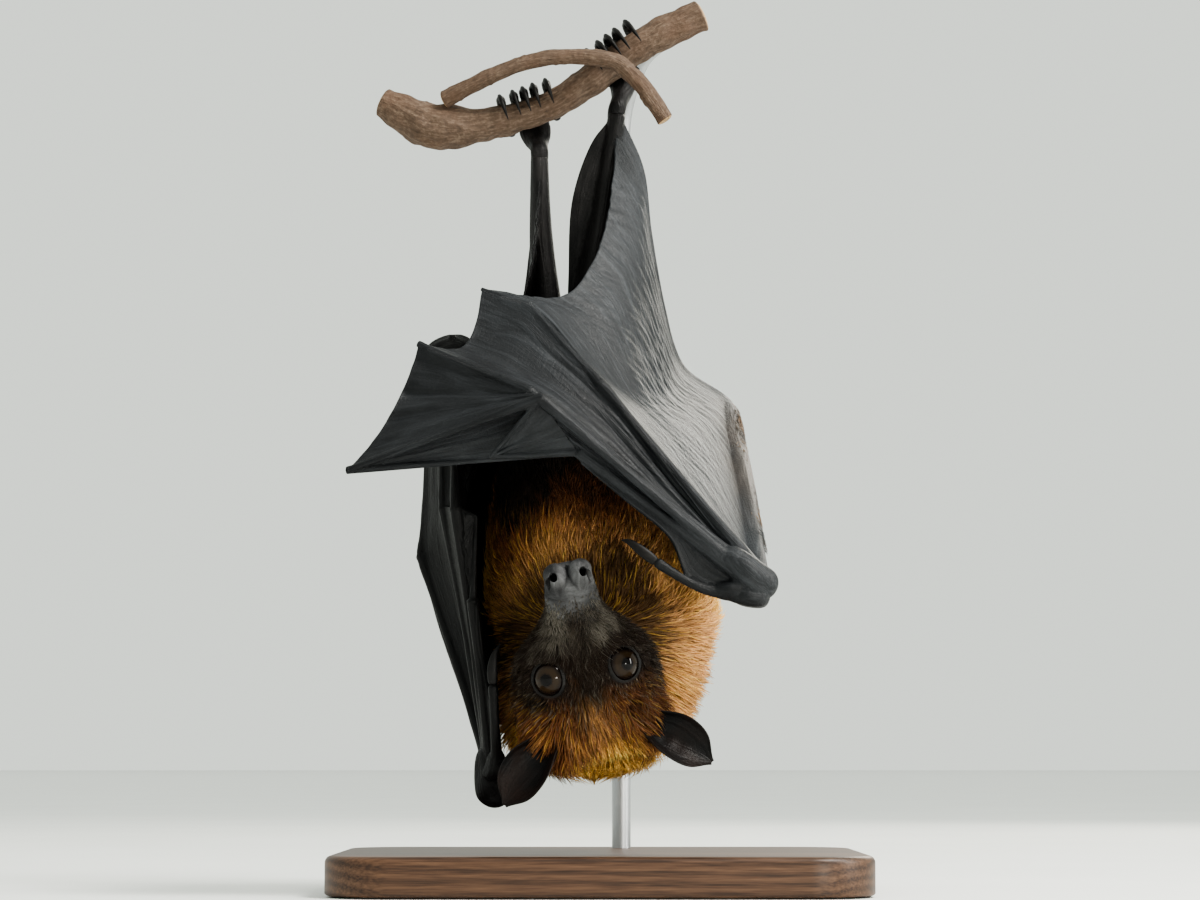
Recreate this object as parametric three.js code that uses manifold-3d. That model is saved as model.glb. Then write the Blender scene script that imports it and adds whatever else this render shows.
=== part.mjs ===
// Fruit bat (Lyle's flying fox), life size, hanging head down by both feet from a cut length of
// branch, which a plain display stand holds up. The belly faces -Y, +Z is up, +X is the bat's right.
// Millimetres. The origin is the middle of the underside of the base.

import * as THREE from 'three';
import { ParametricGeometry } from 'three/addons/geometries/ParametricGeometry.js';
import { mergeVertices } from 'three/addons/utils/BufferGeometryUtils.js';
import Module from 'manifold-3d';

const wasm = await Module();
wasm.setup();

const at = (x, y, z) => new THREE.Vector3(x, y, z);

// ---- driving dimensions ----------------------------------------------------------------------

const GAP = 0.3; // clearance between two neighbouring pieces
const MEMBRANE = 0.8; // thickness of the wing skin
const FACETS = 0.14; // how far faces may stand off the smooth shape
const APART = 0.006; // least distance between two corners of a piece

const BASE_LENGTH = 190;
const BASE_FRONT = 66; // reach of the base towards the belly side and behind
const BASE_BACK = 92;
const BASE_HEIGHT = 14;
const BASE_CORNER = 22;
const BASE_EDGE = 2.5;

const ROD_RADIUS = 3.5;
const ROD_BACK = 68; // distance of the upright behind the body's axis
const ROD_X = 8;

const NECK_PLANE = 92; // height of the cut between neck and trunk

// Head: the nose tip, the way the face looks, and the sizes along the head from the nose backwards.
const NOSE_TIP = at(-11.5, -70, 112);
const HEAD_LIFT = THREE.MathUtils.degToRad(51.3); // how far the face looks up
const HEAD_TURN = THREE.MathUtils.degToRad(13); // turned to the bat's left
const HEAD_ROLL = THREE.MathUtils.degToRad(18.9);
const EYE_RADIUS = 6.8;
const EYE_BACK = 38;
const EYE_SIDE = 11.8;
const EYE_RISE = 8.6;
const EAR_WIDTH = 22;
const EAR_OUTLINE = [0.8, 0.96, 1, 0.9, 0.66, 0.08]; // share of the width, from root to tip
const EAR_SKIN = 1.2;

const TOE_COUNT = 5;
const TOE_PITCH = 3.3;
const TOE_RADIUS = 1.6;
const TOE_RADII = [TOE_RADIUS, TOE_RADIUS, 1.5, 1.7, 1.4, 1, 0.35]; // from the sole to the claw's tip

// The joints of each arm and hand as the bat holds them. `k` is a knuckle at the end of the palm
// bone, `j` the joint after it, and `tip` the end of the finger. The fourth finger folds back on
// itself at `j`, so its last bone lies along the one before and has no line of its own. `web` is the
// free edge of the skin that runs from the second finger's knuckle down to the thumb.
const ARMS = {
  right: {
    shoulder: at(32, 6, 104),
    elbow: at(46, 52, 178),
    wrist: at(53.5, -76, 107),
    finger2: { k: at(-7, -78.5, 150.2), tip: at(-37, -77, 149) },
    finger3: { k: at(-20, -84, 168), j: at(-86, -64, 145.6), tip: at(4, -64, 152) },
    finger4: { k: at(-24.5, -71.5, 172), j: at(-62.6, -54, 190) },
    finger5: { k: at(0, -58, 176), j: at(-25, -42, 205.5), tip: at(-41.5, -36, 211.5) },
    thumb: [at(49, -76, 103), at(38, -77, 103.5), at(30, -78, 106.5), at(18.5, -79, 113.5)],
    thumbClaw: [at(19.2, -79, 113), at(14, -79, 117), at(10, -77.5, 120), at(7.3, -74, 121)],
    web: [at(-6.5, -79, 146.5), at(8, -79, 134.5), at(23.7, -79, 121)],
    ankle: at(6.2, 0, 281),
    fold: [at(15, 6, 264), at(18.5, 10, 239), at(24, 17, 211), at(30, 27, 193)],
    margin: [at(-13.4, -34, 209.4), at(-2.8, -22, 223), at(2.2, -12, 239), at(5, -5, 260)],
  },
  left: {
    shoulder: at(-33, 6, 101),
    elbow: at(-55, 40, 178),
    wrist: at(-37, -27, 37),
    finger2: { k: at(-44, -44, 102), tip: at(-43, -44, 131) },
    finger3: { k: at(-50, -45, 134), j: at(-52, -30, 195), tip: at(-47, -36, 108) },
    finger4: { k: at(-55, -25, 136), j: at(-57, -18, 193.5) },
    finger5: { k: at(-64, 2, 120), j: at(-62.5, 8, 154), tip: at(-57, 5, 175) },
    thumb: [at(-36, -31, 41), at(-36, -38, 50), at(-36.5, -43, 61), at(-37, -45, 73)],
    thumbClaw: [at(-37, -45, 72.4), at(-37.2, -46, 78), at(-36.5, -46, 83), at(-34.5, -44, 87)],
    web: [at(-42.6, -46.5, 100), at(-41.5, -43, 86), at(-39, -41, 74)],
    ankle: at(-22, 2, 265.5),
    fold: [at(-22.5, 8, 250), at(-24, 16, 232), at(-29, 26, 213), at(-40, 34, 196)],
    margin: [at(-44, 0, 186), at(-31, -8, 203), at(-25, -9, 222), at(-22.5, -4, 244)],
  },
};

// Hip, knee and ankle of each leg, with a point midway along the thigh and the shin.
const LEGS = {
  right: {
    joints: [at(8, 6, 178), at(2, 10, 198), at(-3.6, 9, 214), at(1.5, 5, 248), at(6.2, 0, 281)],
  },
  left: {
    joints: [at(-15, 6, 174), at(-19, 9, 192), at(-19.5, 9, 207), at(-21.5, 6, 238), at(-22, 2, 265.5)],
  },
};
const LEG_RADII = [11, 8, 5.6, 4.4, 3.6];

// The branch: a thick limb with a knot, which both feet grip, and a thin twig that arches over it.
const BRANCH_LINE = [
  at(-80, 6, 286), at(-61, 4, 277), at(-38, 4, 278), at(-20, 4, 283.5), at(-3.5, 4, 293.5),
  at(14.5, 4, 306.5), at(38, 4, 318),
];
const BRANCH_RADII = [5.6, 8.6, 6, 5.6, 5.8, 6, 6.2];
const TWIG_LINE = [
  at(-57, -1, 285), at(-41, -6, 292.5), at(-22, -8, 299), at(-4, -9, 299.6), at(6, -9, 297.5),
  at(15, -10, 289), at(24, -10, 276),
];
const TWIG_RADII = [3.4, 2.9, 2.8, 2.9, 3.1, 3.2, 3.2];
const GRIPS = { right: 0.735, left: 0.44 }; // where along the branch each foot holds it
const ROD_GRIP = 0.9; // where the rod enters it from behind

// ---- shape tools -------------------------------------------------------------------------------

const throughPoints = (points) => new THREE.CatmullRomCurve3(points, false, 'centripetal');

// The value at share u along an even row of values, eased from each value to the next.
function eased(values, u) {
  const place = THREE.MathUtils.clamp(u, 0, 1) * (values.length - 1);
  const low = Math.min(Math.floor(place), values.length - 2);
  const t = place - low;
  const [a, b] = [values[low], values[low + 1]];
  const before = values[Math.max(low - 1, 0)];
  const after = values[Math.min(low + 2, values.length - 1)];
  return 0.5 * (2 * a + (b - before) * t + (2 * before - 5 * a + 4 * b - after) * t * t
    + (3 * a - before - 3 * b + after) * t * t * t);
}

// A solid from a closed geometry: doubled corners merged, collapsed triangles dropped, faces outward.
function toSolid(geometry) {
  geometry.deleteAttribute('normal');
  geometry.deleteAttribute('uv');
  const merged = mergeVertices(geometry, 1e-3);
  const corner = [0, 1, 2].map(() => new THREE.Vector3());
  const position = merged.attributes.position;
  const faces = [];
  let volume = 0;
  for (let i = 0; i < merged.index.count; i += 3) {
    const face = [0, 1, 2].map((k) => merged.index.getX(i + k));
    if (new Set(face).size < 3) continue;
    face.forEach((vertex, k) => corner[k].fromBufferAttribute(position, vertex));
    volume += corner[0].dot(corner[1].clone().cross(corner[2]));
    faces.push(face);
  }
  if (volume < 0) faces.forEach((face) => face.reverse());
  return new wasm.Manifold(new wasm.Mesh({
    numProp: 3,
    vertProperties: position.array,
    triVerts: Uint32Array.from(faces.flat()),
  }));
}

const join = (solids) => solids.reduce((whole, piece) => whole.add(piece));
const cutBy = (solid, tools) => tools.reduce((rest, tool) => rest.subtract(tool), solid);
const largest = (solid) => solid.decompose().sort((a, b) => b.volume() - a.volume())[0];

// Everything between two heights.
const slice = (low, high) => {
  const block = new THREE.BoxGeometry(400, 400, high - low);
  block.translate(0, 0, (low + high) / 2);
  return toSolid(block);
};

// Share of the length for ring t of a limb: rings crowd towards both ends, where they round off.
const crowded = (t) => t - (0.9 * Math.sin(2 * Math.PI * t)) / (2 * Math.PI);

// A round limb through `points` whose radius follows `radii`, with both ends rounded off.
// `flat` widens it along `side`; `grow` thickens it all round and lengthens its ends.
function limb(points, radii, options = {}) {
  const { sides = 8, rings = 8, grow = 0, side = at(1, 0, 0), flat = 1, blunt = 1 } = options;
  const path = throughPoints(points);
  const length = path.getLength();
  return toSolid(new ParametricGeometry((u, v, target) => {
    const share = crowded(v);
    const tangent = path.getTangentAt(share);
    const across = side.clone().addScaledVector(tangent, -side.dot(tangent)).normalize();
    const rise = tangent.clone().cross(across);
    const full = eased(radii, share) + grow;
    const end = Math.min(share, 1 - share) * length * blunt;
    const radius = end < full ? Math.sqrt(Math.max(full * full - (full - end) ** 2, 0)) : full;
    const lengthen = share < 0.5 ? -grow : grow;
    const reach = Math.abs(2 * share - 1);
    target.copy(path.getPointAt(share))
      .addScaledVector(tangent, lengthen * reach)
      .addScaledVector(across, radius * flat * Math.cos(2 * Math.PI * u))
      .addScaledVector(rise, radius * Math.sin(2 * Math.PI * u));
  }, sides, rings));
}

// A sheet of even thickness over the surface spot(u, v), closed round its rim.
function sheet(spot, rows, columns, thickness) {
  const positions = [];
  const index = [];
  const step = 0.02;
  const inside = (share) => THREE.MathUtils.clamp(share, step, 1 - step);
  for (const face of [0.5, -0.5]) {
    for (let i = 0; i <= rows; i++) {
      for (let j = 0; j <= columns; j++) {
        const [u, v] = [i / rows, j / columns];
        const [iu, iv] = [inside(u), inside(v)];
        const along = spot(iu + step, iv).sub(spot(iu - step, iv));
        const across = spot(iu, iv + step).sub(spot(iu, iv - step));
        const normal = along.cross(across).normalize();
        positions.push(...spot(u, v).addScaledVector(normal, thickness * face).toArray());
      }
    }
  }
  const far = (rows + 1) * (columns + 1);
  const cell = (i, j) => i * (columns + 1) + j;
  const quad = (a, b, c, d) => index.push(a, b, c, a, c, d);
  for (let i = 0; i < rows; i++) {
    for (let j = 0; j < columns; j++) {
      const [a, b, c, d] = [cell(i, j), cell(i + 1, j), cell(i + 1, j + 1), cell(i, j + 1)];
      quad(a, b, c, d);
      quad(far + a, far + d, far + c, far + b);
    }
  }
  for (let i = 0; i < rows; i++) {
    quad(cell(i + 1, 0), cell(i, 0), far + cell(i, 0), far + cell(i + 1, 0));
    quad(cell(i, columns), cell(i + 1, columns), far + cell(i + 1, columns), far + cell(i, columns));
  }
  for (let j = 0; j < columns; j++) {
    quad(cell(0, j), cell(0, j + 1), far + cell(0, j + 1), far + cell(0, j));
    quad(cell(rows, j + 1), cell(rows, j), far + cell(rows, j), far + cell(rows, j + 1));
  }
  const geometry = new THREE.BufferGeometry();
  geometry.setAttribute('position', new THREE.Float32BufferAttribute(positions, 3));
  geometry.setIndex(index);
  return toSolid(geometry);
}

// The surface between four curves: `low` and `high` run with u, `start` and `end` run with v.
function patch(low, high, start, end) {
  return (u, v) => {
    const spot = low.getPointAt(u).multiplyScalar(1 - v).addScaledVector(high.getPointAt(u), v);
    spot.addScaledVector(start.getPointAt(v), 1 - u).addScaledVector(end.getPointAt(v), u);
    spot.addScaledVector(low.getPointAt(0), -(1 - u) * (1 - v));
    spot.addScaledVector(low.getPointAt(1), -u * (1 - v));
    spot.addScaledVector(high.getPointAt(0), -(1 - u) * v);
    return spot.addScaledVector(high.getPointAt(1), -u * v);
  };
}

// The ruled surface between two curves, sagging by `sag` along `way` midway between them.
function ruled(first, second, way = at(0, 0, 0), sag = 0) {
  return (u, v) => first.getPointAt(u).lerp(second.getPointAt(u), v)
    .addScaledVector(way, sag * Math.sin(Math.PI * v) * Math.sin(Math.PI * u));
}

// A closed body of level or tilted rings: ring(share) gives { centre, side, rise, width, up, down },
// each ring an ellipse whose upper and lower halves have their own height.
function ringed(ring, sides, rings, grow = 0) {
  return toSolid(new ParametricGeometry((u, v, target) => {
    const { centre, side, rise, width, up, down, closed } = ring(v);
    const turn = 2 * Math.PI * u;
    const height = Math.sin(turn) > 0 ? up : down;
    const swell = closed ? 0 : grow;
    target.copy(centre)
      .addScaledVector(side, (width + swell) * Math.cos(turn))
      .addScaledVector(rise, (height + swell) * Math.sin(turn));
  }, sides, rings));
}

// ---- body -----------------------------------------------------------------------------------------

// Rings of the trunk and neck out to the tips of the coat, from the rump down to the nape:
// height, middle x and y, half width, depth towards the belly and towards the back.
const TORSO = [
  [203, -3, 5, 0, 0, 0],
  [200, -3, 5, 12, 9, 11],
  [192, -3, 4.5, 21, 15, 19],
  [178, -4, 3, 28.5, 22, 27],
  [158, -4, 1.5, 33.5, 29, 32],
  [138, -3.5, 0, 36.5, 33.5, 35],
  [118, -2.5, -2, 39, 36, 36],
  [100, 1, -2, 43.5, 35.5, 38],
  [88, 1.5, -4, 40.5, 36, 38],
  [75, 1, -8, 36, 36, 38],
  [62, 1, -12, 31.5, 32, 34],
  [50, 1.5, -14, 24, 24, 26],
  [42, 1.5, -14, 14, 15, 16],
  [39, 1.5, -14, 0, 0, 0],
];

function torso(grow = 0) {
  const column = (k) => TORSO.map((row) => row[k]);
  const [height, x, y, width, belly, back] = [0, 1, 2, 3, 4, 5].map(column);
  return ringed((v) => ({
    centre: at(eased(x, v), eased(y, v), eased(height, v) + (1 - 2 * v) * grow),
    side: at(1, 0, 0),
    rise: at(0, 1, 0),
    width: Math.max(eased(width, v), 0),
    up: Math.max(eased(back, v), 0),
    down: Math.max(eased(belly, v), 0),
    closed: v === 0 || v === 1,
  }), 22, 19, grow);
}

// The head's own axes: forward to the nose, side to the bat's right, crown out of the skull's top.
function headAxes() {
  const forward = at(
    -Math.sin(HEAD_TURN) * Math.cos(HEAD_LIFT),
    -Math.cos(HEAD_TURN) * Math.cos(HEAD_LIFT),
    Math.sin(HEAD_LIFT),
  );
  const level = at(Math.cos(HEAD_TURN), -Math.sin(HEAD_TURN), 0);
  const top = level.clone().cross(forward).normalize();
  const side = level.clone().multiplyScalar(Math.cos(HEAD_ROLL)).addScaledVector(top, -Math.sin(HEAD_ROLL));
  const crown = side.clone().cross(forward).normalize();
  return { forward, side, crown };
}
const HEAD = headAxes();

// A spot on or in the head: `back` from the nose tip, `side` to the bat's right, `rise` to the crown.
const inHead = (back, side, rise) => NOSE_TIP.clone()
  .addScaledVector(HEAD.forward, -back)
  .addScaledVector(HEAD.side, side)
  .addScaledVector(HEAD.crown, rise);

// Rings of the head out to the tips of the coat: distance behind the nose tip, half width,
// height towards the crown, depth towards the throat.
const SKULL = [
  [0, 0, 0, 0],
  [0.6, 5.8, 3, 3.4],
  [3, 8.4, 4.8, 5],
  [8, 9.2, 5.6, 6.6],
  [16, 10.6, 6.8, 8.4],
  [24, 13.4, 9.2, 10.8],
  [31, 17.5, 12.6, 13.6],
  [38, 22.5, 16.6, 17],
  [46, 26, 20, 20],
  [54, 27.5, 22, 22],
  [62, 26.5, 22, 22],
  [70, 22, 19, 19],
  [77, 13, 12, 12],
  [80, 0, 0, 0],
];

function skull(grow = 0) {
  const [back, width, crown, throat] = [0, 1, 2, 3].map((k) => SKULL.map((row) => row[k]));
  return ringed((v) => ({
    centre: inHead(eased(back, v) + (2 * v - 1) * grow, 0, 0),
    side: HEAD.side,
    rise: HEAD.crown,
    width: Math.max(eased(width, v), 0),
    up: Math.max(eased(crown, v), 0),
    down: Math.max(eased(throat, v), 0),
    closed: v === 0 || v === 1,
  }), 18, 17, grow);
}

// The two short nostril tubes, which stand apart at the tip of the muzzle and open sideways.
function nostrils(radius, reach) {
  return [1, -1].map((way) => limb(
    [inHead(6, 3.2 * way, 1), inHead(2, 4.2 * way, 1.4), inHead(-reach, 6 * way, 1.2)],
    [radius, radius, radius * 0.9],
    { sides: 6, rings: 4, side: HEAD.crown },
  ));
}

function eye(way, grow = 0) {
  const ball = new THREE.SphereGeometry(EYE_RADIUS + grow, 12, 8);
  ball.translate(...inHead(EYE_BACK, EYE_SIDE * way, EYE_RISE).toArray());
  return toSolid(ball);
}

// An ear: a leaf rolled about its length, tight at the root and open at the pointed tip.
function ear(way) {
  const root = inHead(59, 15 * way, 14);
  const tip = inHead(72.5, 37.5 * way, 29);
  const length = root.distanceTo(tip);
  const axis = tip.clone().sub(root).normalize();
  const open = at(0, -1, 0.15).addScaledVector(HEAD.side, 0.35 * way);
  open.addScaledVector(axis, -open.dot(axis)).normalize();
  const across = axis.clone().cross(open);
  return sheet((u, v) => {
    const width = (EAR_WIDTH / 2) * eased(EAR_OUTLINE, u);
    const curl = 1.75 - 1.0 * u;
    const turn = (2 * v - 1) * curl;
    const radius = width / curl;
    return root.clone()
      .addScaledVector(axis, length * u * (1 - 0.04 * Math.cos(turn)))
      .addScaledVector(across, radius * Math.sin(turn) * way)
      .addScaledVector(open, radius * (1 - Math.cos(turn)) - 1.5);
  }, 8, 6, EAR_SKIN);
}

// ---- legs and feet -----------------------------------------------------------------------------

// A leg with, on the right one, the narrow edging of skin that runs down its inner side.
function leg(side, grow = 0) {
  const { joints } = LEGS[side];
  const bone = limb(joints, LEG_RADII, { rings: 12, sides: 9, grow, blunt: 4 });
  if (side === 'left') return bone;
  const inner = throughPoints([at(-12, 8, 200), at(-11.5, 7, 222), at(-10, 4, 250), at(-4, 1, 270)]);
  const middle = throughPoints([at(-2, 8, 200), at(-2, 8, 222), at(1.5, 5, 250), at(4, 2, 270)]);
  return bone.add(sheet(ruled(inner, middle), 8, 2, MEMBRANE + 2 * grow));
}

const branchPath = throughPoints(BRANCH_LINE);

// A foot: a sole behind the branch and toes side by side that curl over it, each ending in a claw.
function foot(side, grow = 0) {
  const share = GRIPS[side];
  const middle = branchPath.getPointAt(share);
  const line = branchPath.getTangentAt(share);
  const back = at(0, 1, 0);
  const up = line.clone().cross(back).multiplyScalar(-1).normalize();
  if (up.z < 0) up.multiplyScalar(-1);
  const branchRadius = eased(BRANCH_RADII, share);
  const round = (offset, degrees, radius) => {
    const angle = THREE.MathUtils.degToRad(degrees);
    return middle.clone()
      .addScaledVector(line, offset)
      .addScaledVector(back, radius * Math.cos(angle))
      .addScaledVector(up, radius * Math.sin(angle));
  };
  const lane = branchRadius + TOE_RADIUS + GAP;
  const ankle = LEGS[side].joints[LEGS[side].joints.length - 1];
  const heel = ankle.clone().add(at(0, 1, 1.5));
  const sole = limb(
    [heel, heel.clone().lerp(round(0, -30, lane + 1.5), 0.55).add(at(0, 2, 0)), round(0, -15, lane + 1.2)],
    [3.4, 4, 3.4],
    { side: line, flat: 1.7, rings: 6, sides: 7, grow, blunt: 3 },
  );
  const toes = Array.from({ length: TOE_COUNT }, (_, n) => {
    const offset = (n - (TOE_COUNT - 1) / 2) * TOE_PITCH;
    const spread = 1 + 0.05 * Math.abs(offset);
    const lift = [0, 0, 0, 0.2, 2.2, 2.8, 0.8];
    return limb(
      [-40, 0, 45, 95, 125, 155, 190].map((degrees, k) => round(offset * spread, degrees, lane + lift[k])),
      TOE_RADII,
      { side: line, rings: 9, sides: 4, grow },
    );
  });
  return join([sole, ...toes]);
}

// ---- wings ----------------------------------------------------------------------------------------

const FINGER_RADII = { palm: [3.2, 2.2, 1.9, 2.5], link: [2.3, 1.4, 1.6], last: [1.6, 1.1, 0.9] };

// The hand: a stout wrist, four fingers and the skin between them, and no thumb.
function hand(side, grow = 0) {
  const { wrist, finger2, finger3, finger4, finger5, thumb: digit, web } = ARMS[side];
  const toward = finger3.k.clone().sub(wrist).normalize();
  const bone = (from, to, radii, rings = 4, turn = 0) => {
    const line = to.clone().sub(from).normalize();
    const first = from.clone().addScaledVector(line, -0.8 * radii[0]);
    const last = to.clone().addScaledVector(line, 0.8 * radii[radii.length - 1]);
    return limb([first, first.clone().lerp(last, 0.5), last], radii,
      { rings, sides: 4, grow, blunt: 2.5, side: at(0.3, 1, 0.2 + turn) });
  };
  const fingers = [finger2, finger3, finger4, finger5];
  const pieces = [
    limb([wrist.clone().addScaledVector(toward, -8), wrist, wrist.clone().addScaledVector(toward, 13)],
      [5.5, 7, 4.5], { rings: 6, sides: 7, grow, side: at(0, 1, 0), flat: 0.95 }),
    ...fingers.map((finger, n) => bone(wrist, finger.k, FINGER_RADII.palm, 5, 0.23 * n)),
    ...fingers.slice(1).map((finger) => bone(finger.k, finger.j, FINGER_RADII.link)),
    bone(finger2.k, finger2.tip, FINGER_RADII.last),
    bone(finger3.j, finger3.tip, FINGER_RADII.last),
    bone(finger5.j, finger5.tip, FINGER_RADII.last),
  ];
  const thick = MEMBRANE + 2 * grow;
  const start = (finger) => wrist.clone().lerp(finger.k, 0.2);
  const part = (finger, share) => finger.k.clone().lerp(finger.j, share);
  const straight = (from, to) => {
    const over = to.clone().sub(from).normalize().multiplyScalar(0.7);
    return new THREE.LineCurve3(from.clone().sub(over), to.clone().add(over));
  };
  const back3 = finger3.tip.clone().lerp(finger3.j, 0.9);
  // The skin in flat lengths, each between two stretches of neighbouring fingers.
  const skins = [
    [straight(start(finger2), finger2.k), straight(start(finger3), finger3.k)],
    [straight(finger2.k, finger2.tip), straight(finger3.k, part(finger3, 0.3))],
    [straight(start(finger3), finger3.k), straight(start(finger4), finger4.k)],
    [straight(finger3.k, finger3.j), straight(finger4.k, finger4.j)],
    [straight(start(finger4), finger4.k), straight(start(finger5), finger5.k)],
    [straight(finger4.k, part(finger4, 0.5)), straight(finger5.k, finger5.j)],
    [straight(part(finger4, 0.5), part(finger4, 0.72)), straight(finger5.j, finger5.tip)],
    [straight(finger3.k, part(finger3, 0.9)), straight(finger3.tip, back3)],
  ];
  skins.forEach(([first, second]) => pieces.push(sheet(ruled(first, second), 2, 1, thick)));
  const edge = throughPoints([...web, digit[2], digit[1], digit[0]]);
  pieces.push(sheet(ruled(straight(finger2.k, wrist), edge), 6, 1, thick));
  return join(pieces);
}

// The arm with its skin: upper arm, forearm, the sail from the little finger to the ankle and flank,
// and the small sail in the bend of the elbow.
function armWing(side) {
  const { shoulder, elbow, wrist, finger5, ankle, fold, margin } = ARMS[side];
  const way = side === 'right' ? 1 : -1;
  const upper = limb([shoulder, shoulder.clone().lerp(elbow, 0.5), elbow], [7, 5.5, 5],
    { rings: 6, sides: 6 });
  const fore = limb([elbow, elbow.clone().lerp(wrist, 0.35), wrist], [5.5, 5.8, 4],
    { rings: 7, sides: 6, side: at(0, 0, 1) });
  const little = throughPoints([finger5.tip, finger5.j, finger5.k, wrist]);
  const outer = throughPoints([ankle, ...fold, elbow, elbow.clone().lerp(wrist, 0.5), wrist]);
  const free = throughPoints([finger5.tip, ...margin, ankle]);
  const point = throughPoints([0, 0.1, 0.2].map((step) => wrist.clone().addScalar(step)));
  const front = patch(little, outer, free, point);
  const short = (u, v) => front(u * 0.96, v);
  const rear = throughPoints([ankle, ...fold, elbow, shoulder.clone().lerp(elbow, 0.5), shoulder]);
  const { joints } = LEGS[side];
  const flank = throughPoints([
    ankle, joints[3], joints[2], joints[1],
    at(26 * way - 3, 18, 172), at(33 * way - 3, 16, 145), at(34 * way, 12, 122), shoulder,
  ]);
  const back = ruled(rear, flank, at(way, 0.6, 0), 3);
  const along = (from, shares) => throughPoints(shares.map((share) => from.clone().lerp(elbow, share)));
  const bend = ruled(along(shoulder, [0, 0.45, 0.8]), along(wrist, [0.1, 0.45, 0.8]));
  return join([
    upper,
    fore,
    sheet(short, 9, 4, MEMBRANE),
    sheet((u, v) => back(0.03 + 0.94 * u, v), 10, 1, MEMBRANE),
    sheet(bend, 3, 1, MEMBRANE),
  ]);
}

function thumb(side, grow = 0) {
  return limb(ARMS[side].thumb, [2.8, 2, 1.7, 1.9], { rings: 9, sides: 7, grow, side: at(0, 1, 0) });
}

function thumbClaw(side, grow = 0) {
  return limb(ARMS[side].thumbClaw, [1.9, 1.8, 1.2, 0.4],
    { rings: 7, sides: 6, grow, side: at(0, 1, 0), flat: 0.6 });
}

// ---- branch and stand --------------------------------------------------------------------------

function branch(grow = 0) {
  return limb(BRANCH_LINE, BRANCH_RADII, { rings: 18, sides: 10, grow, side: at(0, 1, 0), blunt: 4 });
}

function twig(grow = 0) {
  return limb(TWIG_LINE, TWIG_RADII, { rings: 14, sides: 7, grow, side: at(0, 1, 0), blunt: 3 });
}

function base() {
  const depth = BASE_FRONT + BASE_BACK;
  const [x, y, r] = [BASE_LENGTH / 2 - BASE_EDGE, depth / 2 - BASE_EDGE, BASE_CORNER];
  const outline = new THREE.Shape();
  outline.moveTo(-x + r, -y);
  outline.lineTo(x - r, -y);
  outline.absarc(x - r, -y + r, r, -Math.PI / 2, 0);
  outline.absarc(x - r, y - r, r, 0, Math.PI / 2);
  outline.absarc(-x + r, y - r, r, Math.PI / 2, Math.PI);
  outline.absarc(-x + r, -y + r, r, Math.PI, 1.5 * Math.PI);
  const plate = new THREE.ExtrudeGeometry(outline, {
    depth: BASE_HEIGHT - BASE_EDGE,
    bevelEnabled: true,
    bevelThickness: BASE_EDGE,
    bevelSize: BASE_EDGE,
    bevelSegments: 1,
    curveSegments: 4,
  });
  plate.translate(0, (BASE_BACK - BASE_FRONT) / 2, 0);
  return toSolid(plate).intersect(slice(0, 2 * BASE_HEIGHT));
}

function rod(grow = 0) {
  const end = branchPath.getPointAt(ROD_GRIP);
  const upright = (x, y, z) => at(ROD_X + x, ROD_BACK - y, z);
  const rise = [
    upright(0, 0, BASE_HEIGHT - 6), upright(0, 0, 90), upright(0, 0, 180), upright(0, 0, 270),
    upright(1, 6, 293), upright(7, 24, 308), upright(15, 44, end.z), end.clone().add(at(0, 2, 0)),
  ];
  return limb(rise, [ROD_RADIUS, ROD_RADIUS], { rings: 20, sides: 10, grow, blunt: 6 });
}

// ---- assembly -------------------------------------------------------------------------------------

const LOOKS = {
  head: [0x33251e, 0.9],
  neck: [0xc8792a, 0.95],
  trunk: [0x2a2019, 0.95],
  ear: [0x1c1516, 0.75],
  eye: [0x2a1710, 0.12],
  limb: [0x232326, 0.6],
  wing: [0x3a3b3e, 0.55],
  claw: [0x0e0d0d, 0.3],
  bark: [0x6b4c38, 0.9],
  wood: [0x3a2418, 0.5],
  steel: [0x8d9094, 0.35],
};

// Where a piece meets itself at a corner, each of its sides keeps a corner of its own, so that every
// edge has just two faces.
function drawApart(geometry) {
  const { position, normal } = geometry.attributes;
  const met = new Map();
  for (let i = 0; i < position.count; i++) {
    const corner = new THREE.Vector3().fromBufferAttribute(position, i);
    const key = corner.toArray().map((x) => x.toFixed(3)).join();
    const times = met.get(key) ?? 0;
    met.set(key, times + 1);
    corner.addScaledVector(new THREE.Vector3().fromBufferAttribute(normal, i), -APART * times);
    position.setXYZ(i, corner.x, corner.y, corner.z);
  }
}

const bat = new THREE.Group();

function place(name, look, solid) {
  const { vertProperties, triVerts } = largest(solid.simplify(FACETS)).getMesh();
  const geometry = new THREE.BufferGeometry();
  geometry.setAttribute('position', new THREE.BufferAttribute(Float32Array.from(vertProperties), 3));
  geometry.setIndex(new THREE.BufferAttribute(Uint32Array.from(triVerts), 1));
  geometry.computeVertexNormals();
  drawApart(geometry);
  const [color, roughness] = LOOKS[look];
  const metalness = look === 'steel' ? 0.9 : 0;
  const mesh = new THREE.Mesh(geometry, new THREE.MeshStandardMaterial({ color, roughness, metalness }));
  mesh.name = name;
  bat.add(mesh);
}

const SIDES = [['right', 1], ['left', -1]];

const grownHead = skull(GAP);
const above = slice(NECK_PLANE + GAP / 2, 400);
const below = slice(-100, NECK_PLANE - GAP / 2);
const ears = SIDES.map(([, way]) => ear(way));

place('head', 'head', cutBy(
  join([skull(), ...nostrils(3.1, 1.2)]),
  [...SIDES.map(([, way]) => eye(way, GAP)), ...nostrils(1.7, 2.4)],
));
place('neck', 'neck', cutBy(torso().intersect(below), [grownHead, ...ears]));
place('trunk', 'trunk', cutBy(torso().intersect(above), [grownHead]));
const grownTorso = torso(GAP);
const grownPerch = [branch(GAP), twig(GAP)];

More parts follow.
